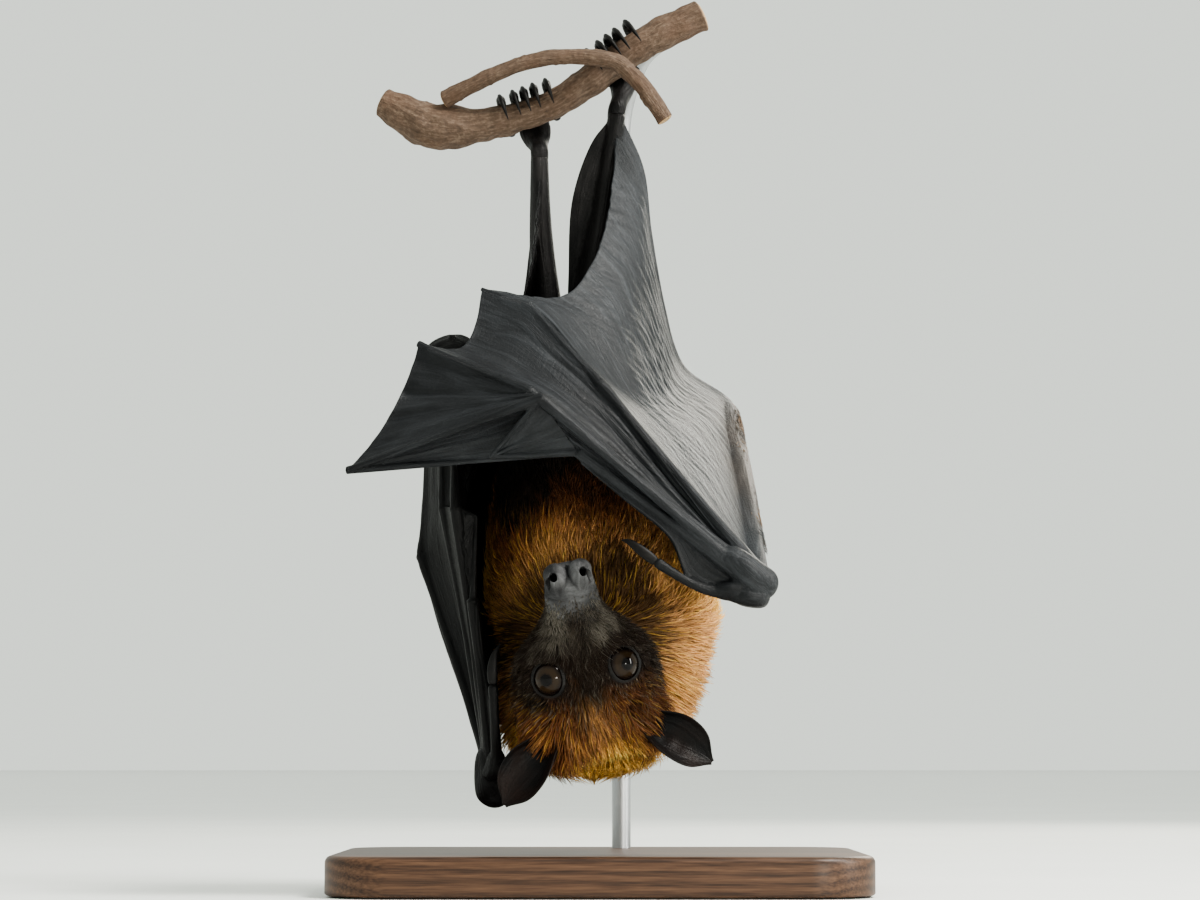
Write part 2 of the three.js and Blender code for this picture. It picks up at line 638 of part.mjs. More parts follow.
for (const [side, way] of SIDES) {
  place(`ear_${side}`, 'ear', cutBy(ear(way), [grownHead]));
  place(`eye_${side}`, 'eye', eye(way));
  place(`foot_${side}`, 'limb', cutBy(foot(side), grownPerch));
  place(`leg_${side}`, 'limb', cutBy(leg(side), [foot(side, GAP), grownTorso]));
  place(`thumb_${side}`, 'limb', cutBy(thumb(side), [thumbClaw(side, GAP)]));
  place(`thumb_claw_${side}`, 'claw', thumbClaw(side));
  place(`hand_${side}`, 'wing', cutBy(hand(side), [thumb(side, GAP), grownTorso]));
  place(`arm_${side}`, 'wing', cutBy(armWing(side), [
    hand(side, GAP), thumb(side, GAP), grownTorso, grownHead, leg('right', GAP), leg('left', GAP),
    foot(side, GAP),
  ]));
}
place('perch_branch', 'bark', cutBy(branch(), [rod(GAP)]));
place('perch_twig', 'bark', cutBy(twig(), [branch(GAP)]));
place('stand_base', 'wood', cutBy(base(), [rod(GAP)]));
place('stand_rod', 'steel', rod());

export default bat;
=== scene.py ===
"""A life-size fruit bat that hangs head down from a cut branch on a plain display stand.

Metres, +Z up. The belly faces -Y and +X is the bat's right. Lengths written in millimetres carry MM.
"""

import bmesh
import bpy
import numpy as np
from mathutils import Matrix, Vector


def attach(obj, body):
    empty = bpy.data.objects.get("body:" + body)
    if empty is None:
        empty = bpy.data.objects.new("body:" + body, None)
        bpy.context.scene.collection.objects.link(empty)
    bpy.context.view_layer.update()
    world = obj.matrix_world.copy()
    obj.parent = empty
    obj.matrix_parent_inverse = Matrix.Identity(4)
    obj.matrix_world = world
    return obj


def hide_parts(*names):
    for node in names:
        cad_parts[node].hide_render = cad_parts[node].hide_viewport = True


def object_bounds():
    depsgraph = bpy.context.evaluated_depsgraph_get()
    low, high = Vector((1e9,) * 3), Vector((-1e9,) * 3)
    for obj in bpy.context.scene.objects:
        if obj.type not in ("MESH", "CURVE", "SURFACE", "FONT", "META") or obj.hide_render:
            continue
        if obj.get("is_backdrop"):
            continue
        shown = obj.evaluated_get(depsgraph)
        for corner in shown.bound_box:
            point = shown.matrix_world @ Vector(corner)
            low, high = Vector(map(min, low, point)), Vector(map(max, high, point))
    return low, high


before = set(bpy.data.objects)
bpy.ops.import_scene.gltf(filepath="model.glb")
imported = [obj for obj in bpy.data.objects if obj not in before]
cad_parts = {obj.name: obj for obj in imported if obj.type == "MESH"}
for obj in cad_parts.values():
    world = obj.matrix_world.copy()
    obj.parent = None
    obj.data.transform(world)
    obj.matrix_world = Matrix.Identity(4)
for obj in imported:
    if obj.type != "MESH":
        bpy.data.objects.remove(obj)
CAD_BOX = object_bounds()

MM = 0.001
TAU = 2 * np.pi
COAT_SHARE = 1.0  # share of the tufts that is made
rng = np.random.default_rng(11)

# ---- the bat's measures, as in the solids ------------------------------------------------------

# Rings of the trunk and neck out to the coat's tips, rump to nape: height, middle x and y, half
# width, depth to the belly and to the back, and the share of the ring that is flesh.
TORSO = np.array([
    [203, -3, 5, 0, 0, 0, 0.85],
    [200, -3, 5, 12, 9, 11, 0.85],
    [192, -3, 4.5, 21, 15, 19, 0.87],
    [178, -4, 3, 28.5, 22, 27, 0.88],
    [158, -4, 1.5, 33.5, 29, 32, 0.88],
    [138, -3.5, 0, 36.5, 33.5, 35, 0.87],
    [118, -2.5, -2, 39, 36, 36, 0.84],
    [100, 1, -2, 43.5, 35.5, 38, 0.80],
    [88, 1.5, -4, 40.5, 36, 38, 0.77],
    [75, -0.5, -8, 39.5, 36, 38, 0.71],
    [62, -2.5, -12, 37, 32, 34, 0.62],
    [50, -4, -14, 31, 24, 26, 0.56],
    [42, -3, -14, 18, 15, 16, 0.6],
    [39, -2, -14, 0, 0, 0, 0.6],
])
COAT_ENDS = [39, 203]  # heights of the trunk's coat at the neck and the rump
SKIN_ENDS = [47, 200]  # and of the skin under it

# Rings of the head: distance behind the nose tip, half width, height to the crown, depth to the
# throat. The first table reaches the coat's tips and the second is the bare skin.
HEAD_COAT = np.array([
    [0, 5.8, 3, 3.4], [3, 8.4, 4.8, 5], [8, 9.0, 5.6, 6.6], [16, 10.6, 6.9, 9],
    [24, 14.8, 9.4, 12.8], [31, 20.6, 12.8, 16.5], [38, 25.5, 16.8, 19], [46, 27.5, 20, 21],
    [54, 28, 22, 22], [62, 26.5, 22, 22], [70, 22, 19, 19], [77, 13, 12, 12], [80, 1, 1, 1],
])
HEAD_SKIN = np.array([
    [0, 5.2, 2.2, 3], [3, 7.6, 3.9, 4.8], [8.5, 8.4, 5, 5.9], [17, 9.4, 5.9, 7.6],
    [25, 12.2, 8.3, 10], [34, 17.8, 12.2, 13], [42, 20.5, 15.4, 15], [53, 21, 17, 16],
    [61, 18.5, 15.9, 15.4], [68, 12.7, 11.6, 11.6], [72, 2, 2, 2],
])
NOSE_TIP = np.array([-11.5, -70, 112])
HEAD_LIFT, HEAD_TURN, HEAD_ROLL = np.radians([51.3, 13, 18.9])

EYE_RADIUS = 6.8
EYE_PLACE = np.array([38, 11.8, 8.6])  # behind the nose tip, to the side, towards the crown
LID_OPENING = 5.8

EAR_ROOT = np.array([59, 15, 14])
EAR_TIP = np.array([72.5, 37.5, 29])
EAR_OPENING = np.array([60, 16, 14.5])  # where it meets the coat
EAR_WIDTH = 22
EAR_OUTLINE = [0.5, 0.78, 0.98, 0.95, 0.7, 0.08]

# Spots of each wing. k2 to k5 are the knuckles of the fingers, j3 to j5 the joints after them, and
# tip2, tip3 and tip5 the ends of fingers. The lines are the thumb and its claw, the free edges of the
# skin by the thumb (web), between the fingers (hem34, hem45) and from the little finger to the ankle
# (margin), and the sail's turns along the leg (fold) and along the trunk (flank).
ARMS = {
    "right": dict(
        shoulder=(32, 6, 104), elbow=(46, 52, 178), wrist=(53.5, -76, 107),
        k2=(-7, -78.5, 150.2), tip2=(-37, -77, 149),
        k3=(-20, -84, 168), j3=(-86, -64, 145.6), tip3=(4, -64, 152),
        k4=(-24.5, -71.5, 172), j4=(-62.6, -54, 190),
        k5=(0, -58, 176), j5=(-25, -42, 205.5), tip5=(-41.5, -36, 211.5),
        thumb=[(49, -76, 103), (38, -77, 103.5), (30, -78, 106.5), (18.5, -79, 113.5)],
        claw=[(19.2, -79, 113), (14, -79, 117), (10, -77.5, 120), (7.3, -74, 121)],
        web=[(-6.5, -79, 146.5), (8, -79, 134.5), (23.7, -79, 121)],
        ankle=(6.2, 0, 281),
        fold=[(15, 6, 264), (18.5, 10, 239), (24, 17, 211), (30, 27, 193)],
        margin=[(-13.4, -34, 209.4), (-2.8, -22, 223), (2.2, -12, 239), (5, -5, 260)],
        hem34=[(-76, -61, 158.3), (-66.7, -57, 176.7)],
        hem45=[(-50.5, -51, 188.5), (-46.5, -48, 191), (-43.3, -43, 199)],
        flank=[(23, 18, 172), (30, 16, 145), (34, 12, 122)],
    ),
    "left": dict(
        shoulder=(-33, 6, 101), elbow=(-55, 40, 178), wrist=(-37, -27, 37),
        k2=(-44, -44, 102), tip2=(-43, -44, 131),
        k3=(-50, -45, 134), j3=(-52, -30, 195), tip3=(-47, -36, 108),
        k4=(-55, -25, 136), j4=(-57, -18, 193.5),
        k5=(-64, 2, 120), j5=(-62.5, 8, 154), tip5=(-57, 5, 175),
        thumb=[(-36, -31, 41), (-36, -38, 50), (-36.5, -43, 61), (-37, -45, 73)],
        claw=[(-37, -45, 72.4), (-37.2, -46, 78), (-36.5, -46, 83), (-34.5, -44, 87)],
        web=[(-42.6, -46.5, 100), (-41.5, -43, 86), (-39, -41, 74)],
        ankle=(-22, 2, 265.5),
        fold=[(-22.5, 8, 250), (-24, 16, 232), (-29, 26, 213), (-40, 34, 196)],
        margin=[(-44, 0, 186), (-31, -8, 203), (-25, -9, 222), (-22.5, -4, 244)],
        hem34=[(-52.5, -27, 192), (-55, -23, 191.5)],
        hem45=[(-56.5, -10, 188), (-57, -3, 180)],
        flank=[(-29, 18, 172), (-36, 16, 145), (-34, 12, 122)],
    ),
}
LEGS = {
    "right": [(8, 6, 178), (2, 10, 198), (-3.6, 9, 214), (1.5, 5, 248), (6.2, 0, 281)],
    "left": [(-15, 6, 174), (-19, 9, 192), (-19.5, 9, 207), (-21.5, 6, 238), (-22, 2, 265.5)],
}
LEG_RADII = [10, 7.2, 5.2, 4.1, 3.4]
LEG_SKIN = (
    [(-12, 8, 200), (-11.5, 7, 222), (-10, 4, 250), (-3, 1, 270), (3, 0.5, 278)],
    [(-2, 8, 200), (-2, 8, 222), (1.5, 5, 250), (4, 2, 270), (5.5, 1, 278)],
)

BRANCH_LINE = [
    (-80, 6, 286), (-61, 4, 277), (-38, 4, 278), (-20, 4, 283.5), (-3.5, 4, 293.5),
    (14.5, 4, 306.5), (38, 4, 318),
]
BRANCH_RADII = [5.6, 8.6, 6, 5.6, 5.8, 6, 6.2]
TWIG_LINE = [
    (-57, -1, 285), (-41, -6, 292.5), (-22, -8, 299), (-4, -9, 299.6), (6, -9, 297.5),
    (15, -10, 289), (24, -10, 276),
]
TWIG_RADII = [3.4, 2.9, 2.8, 2.9, 3.1, 3.2, 3.2]
ROD_LINE = [
    (8, 68, 8), (8, 68, 90), (8, 68, 180), (8, 68, 270), (9, 62, 293), (15, 44, 308),
]
ROD_RADIUS = 3.5
ROD_MEETS_BRANCH = 0.9  # share of the branch's length
BOARD_HALF = (95, 79)
BOARD_MIDDLE_Y = 13
BOARD_HEIGHT = 14
BOARD_CORNER = 24.5
BOARD_ROUNDING = 2.5
GRIPS = {"right": 0.735, "left": 0.44}
TOE_COUNT = 5
TOE_PITCH = 3.3
TOE_RADIUS = 1.6

FINENESS = {"right": 0.95, "left": 0.55}  # share of the full grid on each wing
SKIN_TRIANGLES = 197000
BODY_TUFTS = 58000
HEAD_TUFTS = 26000
FOREARM_TUFTS = 4500

# ---- numbers and lines -----------------------------------------------------------------------------


def eased(values, shares):
    """The value at each share along an even row of values, by the cubic through its neighbours."""
    values = np.asarray(values, float)
    place = np.clip(shares, 0, 1) * (len(values) - 1)
    low = np.minimum(np.floor(place).astype(int), len(values) - 2)
    t = place - low
    a, b = values[low], values[low + 1]
    before = values[np.maximum(low - 1, 0)]
    after = values[np.minimum(low + 2, len(values) - 1)]
    return 0.5 * (
        2 * a + (b - before) * t + (2 * before - 5 * a + 4 * b - after) * t**2
        + (3 * a - before - 3 * b + after) * t**3
    )


def smooth(low, high, x):
    """0 below low, 1 above high, and 3t^2 - 2t^3 between them."""
    t = np.clip((np.asarray(x, float) - low) / (high - low), 0, 1)
    return t * t * (3 - 2 * t)


def bell(x, width):
    """exp of minus (x / width) squared."""
    return np.exp(-((np.asarray(x, float) / width) ** 2))


def round_angles(count):
    """Angles at even steps of a whole turn."""
    return TAU * np.arange(count) / count


def unit(vectors):
    """Each vector over its own length."""
    length = np.linalg.norm(vectors, axis=-1, keepdims=True)
    return vectors / np.maximum(length, 1e-12)


def mix(a, b, share):
    """a (1 - share) + b share, for vectors and colours."""
    share = np.asarray(share)[..., None]
    return np.asarray(a) * (1 - share) + np.asarray(b) * share


def ripple(points, size, seed, waves=10):
    """Smooth noise between about -1 and 1: the mean of sine waves in random directions whose
    length is near `size` millimetres."""
    dice = np.random.default_rng(seed)
    ways = unit(dice.normal(size=(waves, 3))) * (TAU / size) * dice.uniform(0.6, 1.5, (waves, 1))
    phases = dice.uniform(0, TAU, waves)
    return 1.6 * np.sin(np.asarray(points) @ ways.T + phases).sum(-1) / np.sqrt(2 * waves)


def dense_line(points, steps=36):
    """A centripetal Catmull-Rom line through the points: knots lie apart by the square root of the
    distance, and each stretch blends its four points by the Barry-Goldman pyramid."""
    p = np.asarray(points, float)
    p = np.vstack([2 * p[0] - p[1], p, 2 * p[-1] - p[-2]])
    gaps = np.sqrt(np.linalg.norm(np.diff(p, axis=0), axis=1))
    knots = np.concatenate([[0], np.cumsum(gaps)])
    t = np.linspace(knots[1], knots[-2], steps * (len(p) - 3) + 1)
    i = np.clip(np.searchsorted(knots, t, side="right") - 1, 1, len(p) - 3)

    def between(a, b, low, high):
        """The mix of a and b that gives a at the knot `low` and b at the knot `high`."""
        share = ((t - knots[low]) / (knots[high] - knots[low]))[:, None]
        return a * (1 - share) + b * share

    first = [between(p[i + k], p[i + k + 1], i + k, i + k + 1) for k in (-1, 0, 1)]
    second = [between(first[k], first[k + 1], i + k - 1, i + k + 1) for k in (0, 1)]
    return between(second[0], second[1], i, i + 1)


def line_at(points, shares):
    """Points at shares of the length of the smooth line through `points`."""
    line = dense_line(points) if len(points) > 2 else np.asarray(points, float)
    run = np.concatenate([[0], np.cumsum(np.linalg.norm(np.diff(line, axis=0), axis=1))])
    return np.stack([np.interp(np.asarray(shares) * run[-1], run, line[:, k]) for k in range(3)], -1)


def tangents(points, shares):
    """The way of the smooth line at these shares: the unit step from just before to just after."""
    step = 0.004
    high = line_at(points, np.clip(np.asarray(shares) + step, 0, 1))
    return unit(high - line_at(points, np.clip(np.asarray(shares) - step, 0, 1)))


def line_length(points):
    """Length of the smooth line: the sum of its short straight pieces."""
    return np.linalg.norm(np.diff(dense_line(points), axis=0), axis=1).sum()


# ---- shells: closed surfaces as (vertices in mm, quads, triangles, weave) ------------------------
# The weave gives each vertex a place in millimetres along and across the surface, for its creases.


def wrapped(grid, weave=None):
    """A closed shell from rings of points, grid[ring, spot], with a fan over each end."""
    rings, spots = grid.shape[:2]
    ends = np.stack([grid[0].mean(0), grid[-1].mean(0)])
    vertices = np.vstack([grid.reshape(-1, 3), ends])
    a = np.arange(rings * spots).reshape(rings, spots)
    b = np.roll(a, -1, axis=1)
    quads = np.stack([a[:-1], b[:-1], b[1:], a[1:]], -1).reshape(-1, 4)
    first, last = rings * spots, rings * spots + 1
    low = np.stack([b[0], a[0], np.full(spots, first)], -1)
    high = np.stack([a[-1], b[-1], np.full(spots, last)], -1)
    if weave is not None:
        weave = np.vstack([weave.reshape(-1, 3), weave[0].mean(0), weave[-1].mean(0)])
    return outward(vertices, quads, np.vstack([low, high]), weave)


def outward(vertices, quads, triangles, weave=None):
    """The same shell with its faces turned so that it holds a volume above zero."""
    tri = np.vstack([quads[:, [0, 1, 2]], quads[:, [0, 2, 3]], triangles]).astype(int)
    a, b, c = (vertices[tri[:, k]] for k in range(3))
    if (a * np.cross(b, c)).sum() < 0:
        quads, triangles = quads[:, ::-1], triangles[:, ::-1]
    return vertices, quads, triangles, vertices if weave is None else weave


def limb_rings(points, radii, side, rings, blunt):
    """The rings of a limb: share of the length t - 0.9 sin(2 pi t) / 2 pi, which crowds them at both
    ends, the unit vectors across and rise, the full radius, and the radius that falls to nothing at
    the ends as on a ball."""
    t = np.linspace(0, 1, rings)
    share = t - 0.9 * np.sin(TAU * t) / TAU
    tangent = tangents(points, share)
    across = unit(side - (tangent @ np.asarray(side, float))[:, None] * tangent)
    rise = np.cross(tangent, across)
    full = eased(radii, share)
    end = np.minimum(share, 1 - share) * line_length(points) * blunt
    radius = np.where(end < full, np.sqrt(np.maximum(full**2 - (full - end) ** 2, 1e-4)), full)
    return share, across, rise, full, radius


def tube(points, radii, side=(0, 1, 0), rings=40, sides=16, flat=1.0, blunt=1.0, form=None):
    """A round limb: centre(t) + r(t) (flat cos a across + sin a rise). form(t, a) scales the radius."""
    share, across, rise, _, radius = limb_rings(points, radii, side, rings, blunt)
    a = round_angles(sides)
    size = radius[:, None] * (1 if form is None else form(share[:, None], a[None]))
    wide, high = size * flat * np.cos(a), size * np.sin(a)
    grid = line_at(points, share)[:, None] + across[:, None] * wide[..., None]
    grid = grid + rise[:, None] * high[..., None]
    run = share[:, None] * line_length(points)
    return wrapped(grid, np.stack(np.broadcast_arrays(run, wide, high), -1))


def edged(grid, axis, shares):
    """The grid with two more lines beside each border, at these shares of the first cell."""
    grid = np.moveaxis(grid, axis, 0)
    last = len(grid) - 1
    rows = np.arange(last + 1.0)
    rows = np.sort(np.concatenate([rows, shares[0], last - np.array(shares[1])]))
    low = np.minimum(rows.astype(int), last - 1)
    part = (rows - low).reshape(-1, *[1] * (grid.ndim - 1))
    return np.moveaxis(grid[low] * (1 - part) + grid[low + 1] * part, 0, axis)


def sheet(middle, thickness):
    """A closed shell over the grid of points `middle`: half the thickness to each side along the
    normal, and a rounded rim, where the thickness falls off over the last third of a millimetre."""
    thickness = np.broadcast_to(thickness, middle.shape[:2])
    for axis in (0, 1):
        lines = np.moveaxis(middle, axis, 0)
        cells = [np.linalg.norm(lines[k] - lines[k + 1], axis=-1).mean() for k in (0, -2)]
        shares = [[min(0.2, 0.1 / cell), min(0.6, 0.35 / cell)] for cell in cells]
        middle, thickness = edged(middle, axis, shares), edged(thickness, axis, shares)
        rim = np.ones(middle.shape[axis])
        rim[[0, 1, -2, -1]] = [0.35, 0.78, 0.78, 0.35]
        thickness = thickness * (rim[:, None] if axis == 0 else rim)
    normal = unit(np.cross(*[np.gradient(middle, axis=k) for k in (0, 1)]))
    half = 0.5 * thickness[..., None]
    rows, columns = middle.shape[:2]
    vertices = np.vstack([(middle + s * half * normal).reshape(-1, 3) for s in (1, -1)])
    steps = [np.linalg.norm(np.diff(middle, axis=k), axis=-1).mean(1 - k) for k in (0, 1)]
    run = [np.concatenate([[0], np.cumsum(step)]) for step in steps]
    weave = np.stack(np.broadcast_arrays(run[0][:, None], run[1][None], 0.0), -1).reshape(-1, 3)
    weave = np.vstack([weave, weave + [0, 0, 60]]) + middle.reshape(-1, 3).mean(0)
    a = np.arange(rows * columns).reshape(rows, columns)
    face = np.stack([a[:-1, :-1], a[1:, :-1], a[1:, 1:], a[:-1, 1:]], -1).reshape(-1, 4)
    far = rows * columns
    rim = np.concatenate([a[0, :-1], a[:-1, -1], a[-1, :0:-1], a[:0:-1, 0]])
    after = np.roll(rim, -1)
    edge = np.stack([rim, after, after + far, rim + far], -1)
    quads = np.vstack([face, face[:, [0, 3, 2, 1]] + far, edge])
    return outward(vertices, quads, np.zeros((0, 3), int), weave)


def ruled(first, second, rows, columns):
    """The straight surface between two lines of points."""
    u, v = np.linspace(0, 1, rows), np.linspace(0, 1, columns)
    return mix(line_at(first, u)[:, None], line_at(second, u)[:, None], v[None])


def patch(low, high, start, end, rows, columns, keep=1.0):
    """The surface between four lines: the sum of the two ruled surfaces less the corners' own."""
    u, v = np.linspace(0, keep, rows), np.linspace(0, 1, columns)
    a, b, c, d = line_at(low, u), line_at(high, u), line_at(start, v), line_at(end, v)
    across = mix(a[:, None], b[:, None], v[None])
    along = mix(c[None], d[None], u[:, None])
    ends = [line_at(line, [0, 1]) for line in (low, high)]
    corners = [mix(end[0], end[1], u)[:, None] for end in ends]
    corners = mix(*corners, v[None])
    return across + along - corners


def set_attribute(mesh, key, values):
    """A point attribute: a number, a vector of three or a colour of four for each vertex."""
    wide = 1 if values.ndim == 1 else values.shape[1]
    kinds = {1: ("FLOAT", "value"), 3: ("FLOAT_VECTOR", "vector"), 4: ("FLOAT_COLOR", "color")}
    kind, field = kinds[wide]
    layer = mesh.attributes.new(key, kind, "POINT")
    layer.data.foreach_set(field, values.astype(np.float32).ravel())


def mesh_piece(name, vertices, quads, triangles, weave=None, attributes=None):
    """A mesh object with its points in metres, from arrays of points, four-sided and three-sided faces."""
    mesh = bpy.data.meshes.new(name)
    corners = np.concatenate([np.asarray(quads).ravel(), np.asarray(triangles).ravel()]).astype(np.int32)
    sizes = np.concatenate([np.full(len(quads), 4), np.full(len(triangles), 3)]).astype(np.int32)
    mesh.vertices.add(len(vertices))
    mesh.vertices.foreach_set("co", (np.asarray(vertices) * MM).astype(np.float32).ravel())
    mesh.loops.add(len(corners))
    mesh.loops.foreach_set("vertex_index", corners)
    mesh.polygons.add(len(sizes))
    mesh.polygons.foreach_set("loop_start", (np.cumsum(sizes) - sizes).astype(np.int32))
    mesh.update(calc_edges=True)
    mesh.polygons.foreach_set("use_smooth", np.ones(len(sizes), bool))
    for key, values in (attributes or {}).items():
        set_attribute(mesh, key, values)
    piece = bpy.data.objects.new(name, mesh)
    bpy.context.scene.collection.objects.link(piece)
    return piece


def merged(shells):
    """Several shells as one set of points, quads and triangles."""
    count = np.cumsum([0] + [len(s[0]) for s in shells])
    parts = [[s[k] + (count[n] if k else 0) for n, s in enumerate(shells)] for k in range(3)]
    return [np.vstack(p) for p in parts]


def finished(piece, material, slot, *nodes):
    """Gives a piece its material and its place among the nodes that it stands for."""
    piece.data.materials.clear()
    piece.data.materials.append(material)
    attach(piece, "root")
    if nodes:
        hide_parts(*nodes)
    return piece


# ---- trunk and neck -----------------------------------------------------------------------------


def torso_spot(u, v, flesh):
    """A spot on the trunk: middle(v) + width cos a, depth sin a, with a = 2 pi u. `flesh` 1 gives
    the skin and 0 the tips of the coat."""
    z, x, y, width, belly, back, share = (eased(TORSO[:, k], v) for k in range(7))
    a = TAU * np.asarray(u)
    size = 1 - flesh * (1 - share)
    z = z * (1 - flesh) + np.interp(z, COAT_ENDS, SKIN_ENDS) * flesh
    depth = np.where(np.sin(a) > 0, back, belly)
    return np.stack([
        x + np.maximum(width, 0.05) * size * np.cos(a),
        y + np.maximum(depth, 0.05) * size * np.sin(a),
        z + 0 * a,
    ], -1)


def torso_shell():
    """The bare trunk: rings of torso_spot from neck to rump."""
    u = np.arange(64) / 64
    v = np.linspace(0.004, 0.996, 56)
    return wrapped(torso_spot(u[None], v[:, None], 1.0))


def in_torso(points, grow=0.0):
    """Whether points lie inside the trunk's skin, grown by `grow` millimetres."""
    rows = np.linspace(0, 1, 300)
    height = np.interp(eased(TORSO[:, 0], rows), COAT_ENDS, SKIN_ENDS)[::-1]
    column = [eased(TORSO[:, k], rows)[::-1] for k in range(7)]
    x, y, width, belly, back, share = (np.interp(points[:, 2], height, c) for c in column[1:])
    deep = np.where(points[:, 1] > y, back, belly)
    side = (points[:, 0] - x) / np.maximum(width * share + grow, 0.1)
    fore = (points[:, 1] - y) / np.maximum(deep * share + grow, 0.1)
    level = (points[:, 2] > SKIN_ENDS[0] - grow) & (points[:, 2] < SKIN_ENDS[1] + grow)
    return level & (side**2 + fore**2 < 1)


# ---- head ----------------------------------------------------------------------------------------


def head_axes():
    """Rows: forward to the nose, side to the bat's right, and out of the crown."""
    forward = np.array([
        -np.sin(HEAD_TURN) * np.cos(HEAD_LIFT),
        -np.cos(HEAD_TURN) * np.cos(HEAD_LIFT),
        np.sin(HEAD_LIFT),
    ])
    level = np.array([np.cos(HEAD_TURN), -np.sin(HEAD_TURN), 0])
    top = unit(np.cross(level, forward))
    side = level * np.cos(HEAD_ROLL) - top * np.sin(HEAD_ROLL)
    return np.stack([forward, side, unit(np.cross(side, forward))])


HEAD = head_axes()


def from_head(local):
    """World places of (back, side, rise) in the head."""
    local = np.asarray(local, float)
    return NOSE_TIP + local * [-1, 1, 1] @ HEAD


def to_head(points):
    """(back, side, rise) in the head of world places."""
    return (np.asarray(points) - NOSE_TIP) @ HEAD.T * [-1, 1, 1]


def head_ring(table, back):
    """Half width, crown height and throat depth at a distance behind the nose."""
    rows = np.linspace(0, 1, 300)
    place = eased(table[:, 0], rows)
    return [np.interp(back, place, eased(table[:, k], rows)) for k in (1, 2, 3)]


def head_local(u, back, table):
    """(back, side, rise) on a ring: squarish on the muzzle, where the sine and cosine are drawn out
    towards the corners, and round behind."""
    width, crown, throat = head_ring(table, back)
    a = TAU * np.asarray(u)
    square = 1 - 0.22 * smooth(30, 12, back)
    c, s = np.cos(a), np.sin(a)
    side = width * np.sign(c) * np.abs(c) ** square
    rise = np.where(s > 0, crown, throat) * np.sign(s) * np.abs(s) ** square
    return np.stack(np.broadcast_arrays(back, side, rise), -1)


def eye_axes(way):
    """Centre of an eye and the three axes of its opening, in the head's own measures."""
    centre = EYE_PLACE * [1, way, 1]
    out = unit(np.array([-0.48, 0.38 * way, 0.79]))
    along = unit(np.cross(out, [0, -way, 0.4]))
    return centre, out, along, np.cross(out, along)


def head_relief(local):
    """Moves bare head points along the way out from the head's axis: philtrum, mouth line, ridge of
    the nose, folds over the muzzle, then a mound and a hollow for each eye."""
    back, side, rise = np.moveaxis(local, -1, 0)
    width, crown, throat = head_ring(HEAD_SKIN, back)
    push = -2.2 * bell(side, 1.5) * bell(back, 4.5) * (rise > -1.5)
    push = push - 0.6 * bell(side, 1.2) * smooth(30, 8, back) * (rise > 0)
    over_mouth = rise + (0.5 + 0.1 * back)
    aside = np.abs(side) / width
    push = push - 1.0 * bell(over_mouth, 0.75) * smooth(29, 25, back) * smooth(0.15, 0.5, aside)
    push = push + 0.5 * bell(over_mouth - 1.6, 1.0) * smooth(24, 16, back) * smooth(0.3, 0.7, aside)
    push = push + 0.22 * np.sin(back * 2.3 + 0.6 * np.cos(side)) * bell(back - 11, 7) * smooth(0, 2, rise)
    push = push - 0.5 * bell(back - 11.5, 1.3) * smooth(1, 3, rise)
    out = unit(np.stack([0 * back, side / width**2, rise / np.where(rise > 0, crown, throat) ** 2], -1))
    local = local + out * push[..., None]
    for way in (1, -1):
        centre, axis, _, _ = eye_axes(way)
        high = (local - centre) @ axis
        flat = (local - centre) - high[..., None] * axis
        far = np.linalg.norm(flat, axis=-1)
        ball = np.sqrt(np.maximum(EYE_RADIUS**2 - far**2, 0))
        rim = np.sqrt(EYE_RADIUS**2 - LID_OPENING**2)
        mound = rim - 0.1 - 3.2 * smooth(LID_OPENING, 13, far) - 0.35 * bell(far - 8.2, 0.7)
        target = np.where(far < LID_OPENING, np.minimum(ball - 1.2, rim - 0.1), mound)
        near = smooth(13, 8.5, far) * (high > -3)
        local = local + axis * ((target - high) * near)[..., None]
    return local


def head_shell():
    """The bare head: rings of head_local with the relief, closer together on the face."""
    back = np.concatenate([
        np.linspace(0, 30, 68)[:-1], np.linspace(30, 48, 42)[:-1], np.linspace(48, 72, 16),
    ])
    u = np.arange(160) / 160
    local = head_relief(head_local(u[None], back[:, None], HEAD_SKIN))
    nose = [local[0] * [1, k, k] - [f, 0, 0] for k, f in ((0.5, 1.0), (0.8, 0.75), (0.95, 0.35))]
    return wrapped(from_head(np.concatenate([np.stack(nose), local])))


def in_head(points, table=HEAD_SKIN, grow=0.0):
    """Whether points lie inside the head's rings of this table, grown by `grow` millimetres."""
    back, side, rise = to_head(points).T
    width, crown, throat = head_ring(table, back)
    deep = np.where(rise > 0, crown, throat)
    level = (back > -grow) & (back < table[-1, 0] + grow)
    return level & ((side / (width + grow)) ** 2 + (rise / (deep + grow)) ** 2 < 1)


def nostril_shells():
    """Two fat lobes side by side at the tip of the muzzle, with a cleft between them: tubes whose
    section bulges by small cosines of two and three times the angle."""

    def lobed(t, a):
        """Share of the radius at a share t of the length and an angle a."""
        return 1 + 0.05 * np.cos(2 * a + 0.4) + 0.03 * np.cos(3 * a) - 0.06 * bell(t - 0.42, 0.1)

    line = np.array([[11, 3.2, 0.4], [4, 4.2, 1.5], [-2.8, 4.45, 2.6]])
    return [
        tube(from_head(line * [1, way, 1]), [2.8, 4.15, 4.2], HEAD[2], 48, 48, form=lobed)
        for way in (1, -1)
    ]


